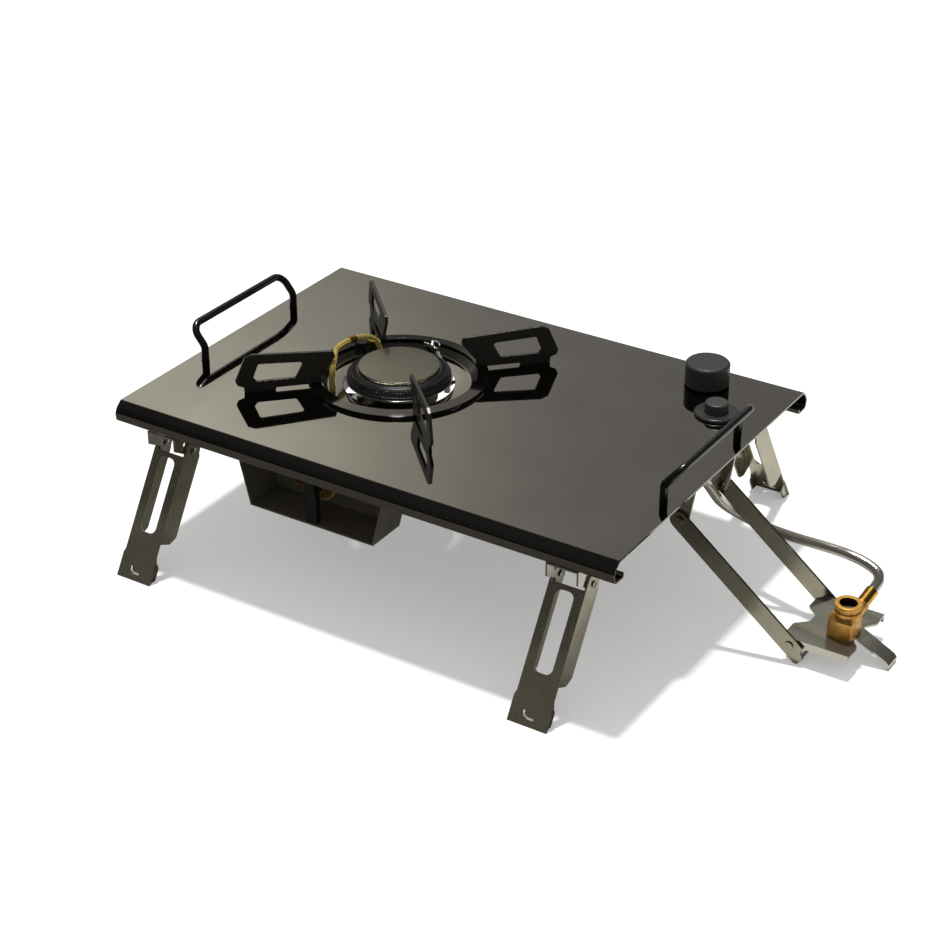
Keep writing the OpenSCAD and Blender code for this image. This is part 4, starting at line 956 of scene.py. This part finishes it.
def make_floor():
    mesh = bpy.data.meshes.new("floor")
    size = 6
    mesh.from_pydata([(-size, -size, 0), (size, -size, 0), (size, size, 0), (-size, size, 0)], [], [(0, 1, 2, 3)])
    floor = bpy.data.objects.new("floor", mesh)
    bpy.context.scene.collection.objects.link(floor)
    material = bpy.data.materials.new("studio floor")
    material.use_nodes = True
    tree = material.node_tree
    tree.nodes.clear()
    out = tree.nodes.new("ShaderNodeOutputMaterial")
    links = tree.links
    path = tree.nodes.new("ShaderNodeLightPath")
    matt, glow = tree.nodes.new("ShaderNodeBsdfDiffuse"), tree.nodes.new("ShaderNodeEmission")
    seen, plain = tree.nodes.new("ShaderNodeAddShader"), tree.nodes.new("ShaderNodeBsdfDiffuse")
    dark = tree.nodes.new("ShaderNodeBsdfDiffuse")
    matt.inputs["Color"].default_value = (0.62, 0.62, 0.61, 1)
    plain.inputs["Color"].default_value = (0.3, 0.3, 0.29, 1)
    dark.inputs["Color"].default_value = (0.075, 0.072, 0.064, 1)
    # Camera, gloss and glass see the pale floor; other light meets a plainer one.
    gloss, clear = tree.nodes.new("ShaderNodeMath"), tree.nodes.new("ShaderNodeMath")
    for sum_node, one, two in (
        (gloss, path.outputs["Is Glossy Ray"], path.outputs["Is Transmission Ray"]),
        (clear, gloss.outputs[0], path.outputs["Is Camera Ray"]),
    ):
        sum_node.operation, sum_node.use_clamp = "ADD", True
        links.new(one, sum_node.inputs[0])
        links.new(two, sum_node.inputs[1])
    # The camera sees the shadow softer than gloss does.
    lift = tree.nodes.new("ShaderNodeMath")
    lift.operation = "MULTIPLY"
    lift.inputs[1].default_value = 0.29
    links.new(path.outputs["Is Camera Ray"], lift.inputs[0])
    links.new(lift.outputs[0], glow.inputs["Strength"])
    shown = tree.nodes.new("ShaderNodeMixShader")
    # A dark cloth lies before the stove; only gloss meets it.
    place, split = tree.nodes.new("ShaderNodeTexCoord"), tree.nodes.new("ShaderNodeSeparateXYZ")
    before, cloth = tree.nodes.new("ShaderNodeMapRange"), tree.nodes.new("ShaderNodeMath")
    before.inputs["From Min"].default_value, before.inputs["From Max"].default_value = CLOTH_EDGE
    cloth.operation = "MULTIPLY"
    whole = tree.nodes.new("ShaderNodeMixShader")
    links.new(place.outputs["Object"], split.inputs[0])
    links.new(split.outputs["Y"], before.inputs["Value"])
    links.new(before.outputs["Result"], cloth.inputs[0])
    links.new(path.outputs["Is Glossy Ray"], cloth.inputs[1])
    links.new(matt.outputs[0], seen.inputs[0])
    links.new(glow.outputs[0], seen.inputs[1])
    links.new(clear.outputs[0], shown.inputs[0])
    links.new(plain.outputs[0], shown.inputs[1])
    links.new(seen.outputs[0], shown.inputs[2])
    links.new(cloth.outputs[0], whole.inputs[0])
    links.new(shown.outputs[0], whole.inputs[1])
    links.new(dark.outputs[0], whole.inputs[2])
    links.new(whole.outputs[0], out.inputs[0])
    mesh.materials.append(material)


def make_lamp():
    data = bpy.data.lights.new("overhead lamp", "SUN")
    data.energy = 3.4
    data.angle = math.radians(4)
    lamp = bpy.data.objects.new("overhead lamp", data)
    lamp.rotation_euler = (-Vector(LAMP_FROM)).to_track_quat("-Z", "Y").to_euler()
    bpy.context.scene.collection.objects.link(lamp)


# Height of a direction above the horizon, from and to, and the share of the glow left at each.
HORIZON = (0.28, 0.38, 0.3, 1)


def make_studio():
    """The studio seen in gloss: dark round the camera, with a large soft glow high on the left."""
    world = bpy.data.worlds.new("studio")
    bpy.context.scene.world = world
    world.use_nodes = True
    tree = world.node_tree
    tree.nodes.clear()
    links = tree.links
    out, back = tree.nodes.new("ShaderNodeOutputWorld"), tree.nodes.new("ShaderNodeBackground")
    coordinates, dot = tree.nodes.new("ShaderNodeTexCoord"), tree.nodes.new("ShaderNodeVectorMath")
    dot.operation = "DOT_PRODUCT"
    dot.inputs[1].default_value = Vector(GLOW_FROM).normalized()
    angle, share = tree.nodes.new("ShaderNodeMath"), tree.nodes.new("ShaderNodeMath")
    angle.operation, share.operation = "ARCCOSINE", "DIVIDE"
    share.inputs[1].default_value = math.radians(GLOW_STEPS[-1][0])
    ramp = tree.nodes.new("ShaderNodeValToRGB")
    elements = ramp.color_ramp.elements
    for degrees, _ in GLOW_STEPS[1:-1]:
        elements.new(degrees / GLOW_STEPS[-1][0])
    for element, (degrees, value) in zip(elements, GLOW_STEPS):
        element.position = degrees / GLOW_STEPS[-1][0]
        blue = 0.86 if degrees < 8 else 0.94
        element.color = (value * 0.96 / 2, value * 0.945 / 2, value * blue / 2, 1)
    double = tree.nodes.new("ShaderNodeVectorMath")
    double.operation = "SCALE"
    double.inputs["Scale"].default_value = 2
    # The backdrop's foot is dark, so the glow fades towards the horizon.
    split, foot = tree.nodes.new("ShaderNodeSeparateXYZ"), tree.nodes.new("ShaderNodeMapRange")
    for key, number in zip(("From Min", "From Max", "To Min", "To Max"), HORIZON):
        foot.inputs[key].default_value = number
    faded = tree.nodes.new("ShaderNodeVectorMath")
    faded.operation = "SCALE"
    links.new(coordinates.outputs["Generated"], split.inputs[0])
    links.new(split.outputs["Z"], foot.inputs["Value"])
    links.new(foot.outputs["Result"], faded.inputs["Scale"])
    links.new(double.outputs[0], faded.inputs[0])
    path = tree.nodes.new("ShaderNodeLightPath")
    fill, show = tree.nodes.new("ShaderNodeMix"), tree.nodes.new("ShaderNodeMix")
    for mix, colour in ((fill, (0.62, 0.62, 0.62, 1)), (show, (1, 1, 1, 1))):
        mix.data_type = "RGBA"
        mix.inputs["B"].default_value = colour
    links.new(coordinates.outputs["Generated"], dot.inputs[0])
    links.new(dot.outputs["Value"], angle.inputs[0])
    links.new(angle.outputs[0], share.inputs[0])
    links.new(share.outputs[0], ramp.inputs[0])
    links.new(ramp.outputs[0], double.inputs[0])
    links.new(faded.outputs[0], fill.inputs["A"])
    links.new(path.outputs["Is Diffuse Ray"], fill.inputs["Factor"])
    links.new(fill.outputs["Result"], show.inputs["A"])
    links.new(path.outputs["Is Camera Ray"], show.inputs["Factor"])
    links.new(show.outputs["Result"], back.inputs["Color"])
    links.new(back.outputs[0], out.inputs[0])


make_floor()
make_lamp()
make_studio()
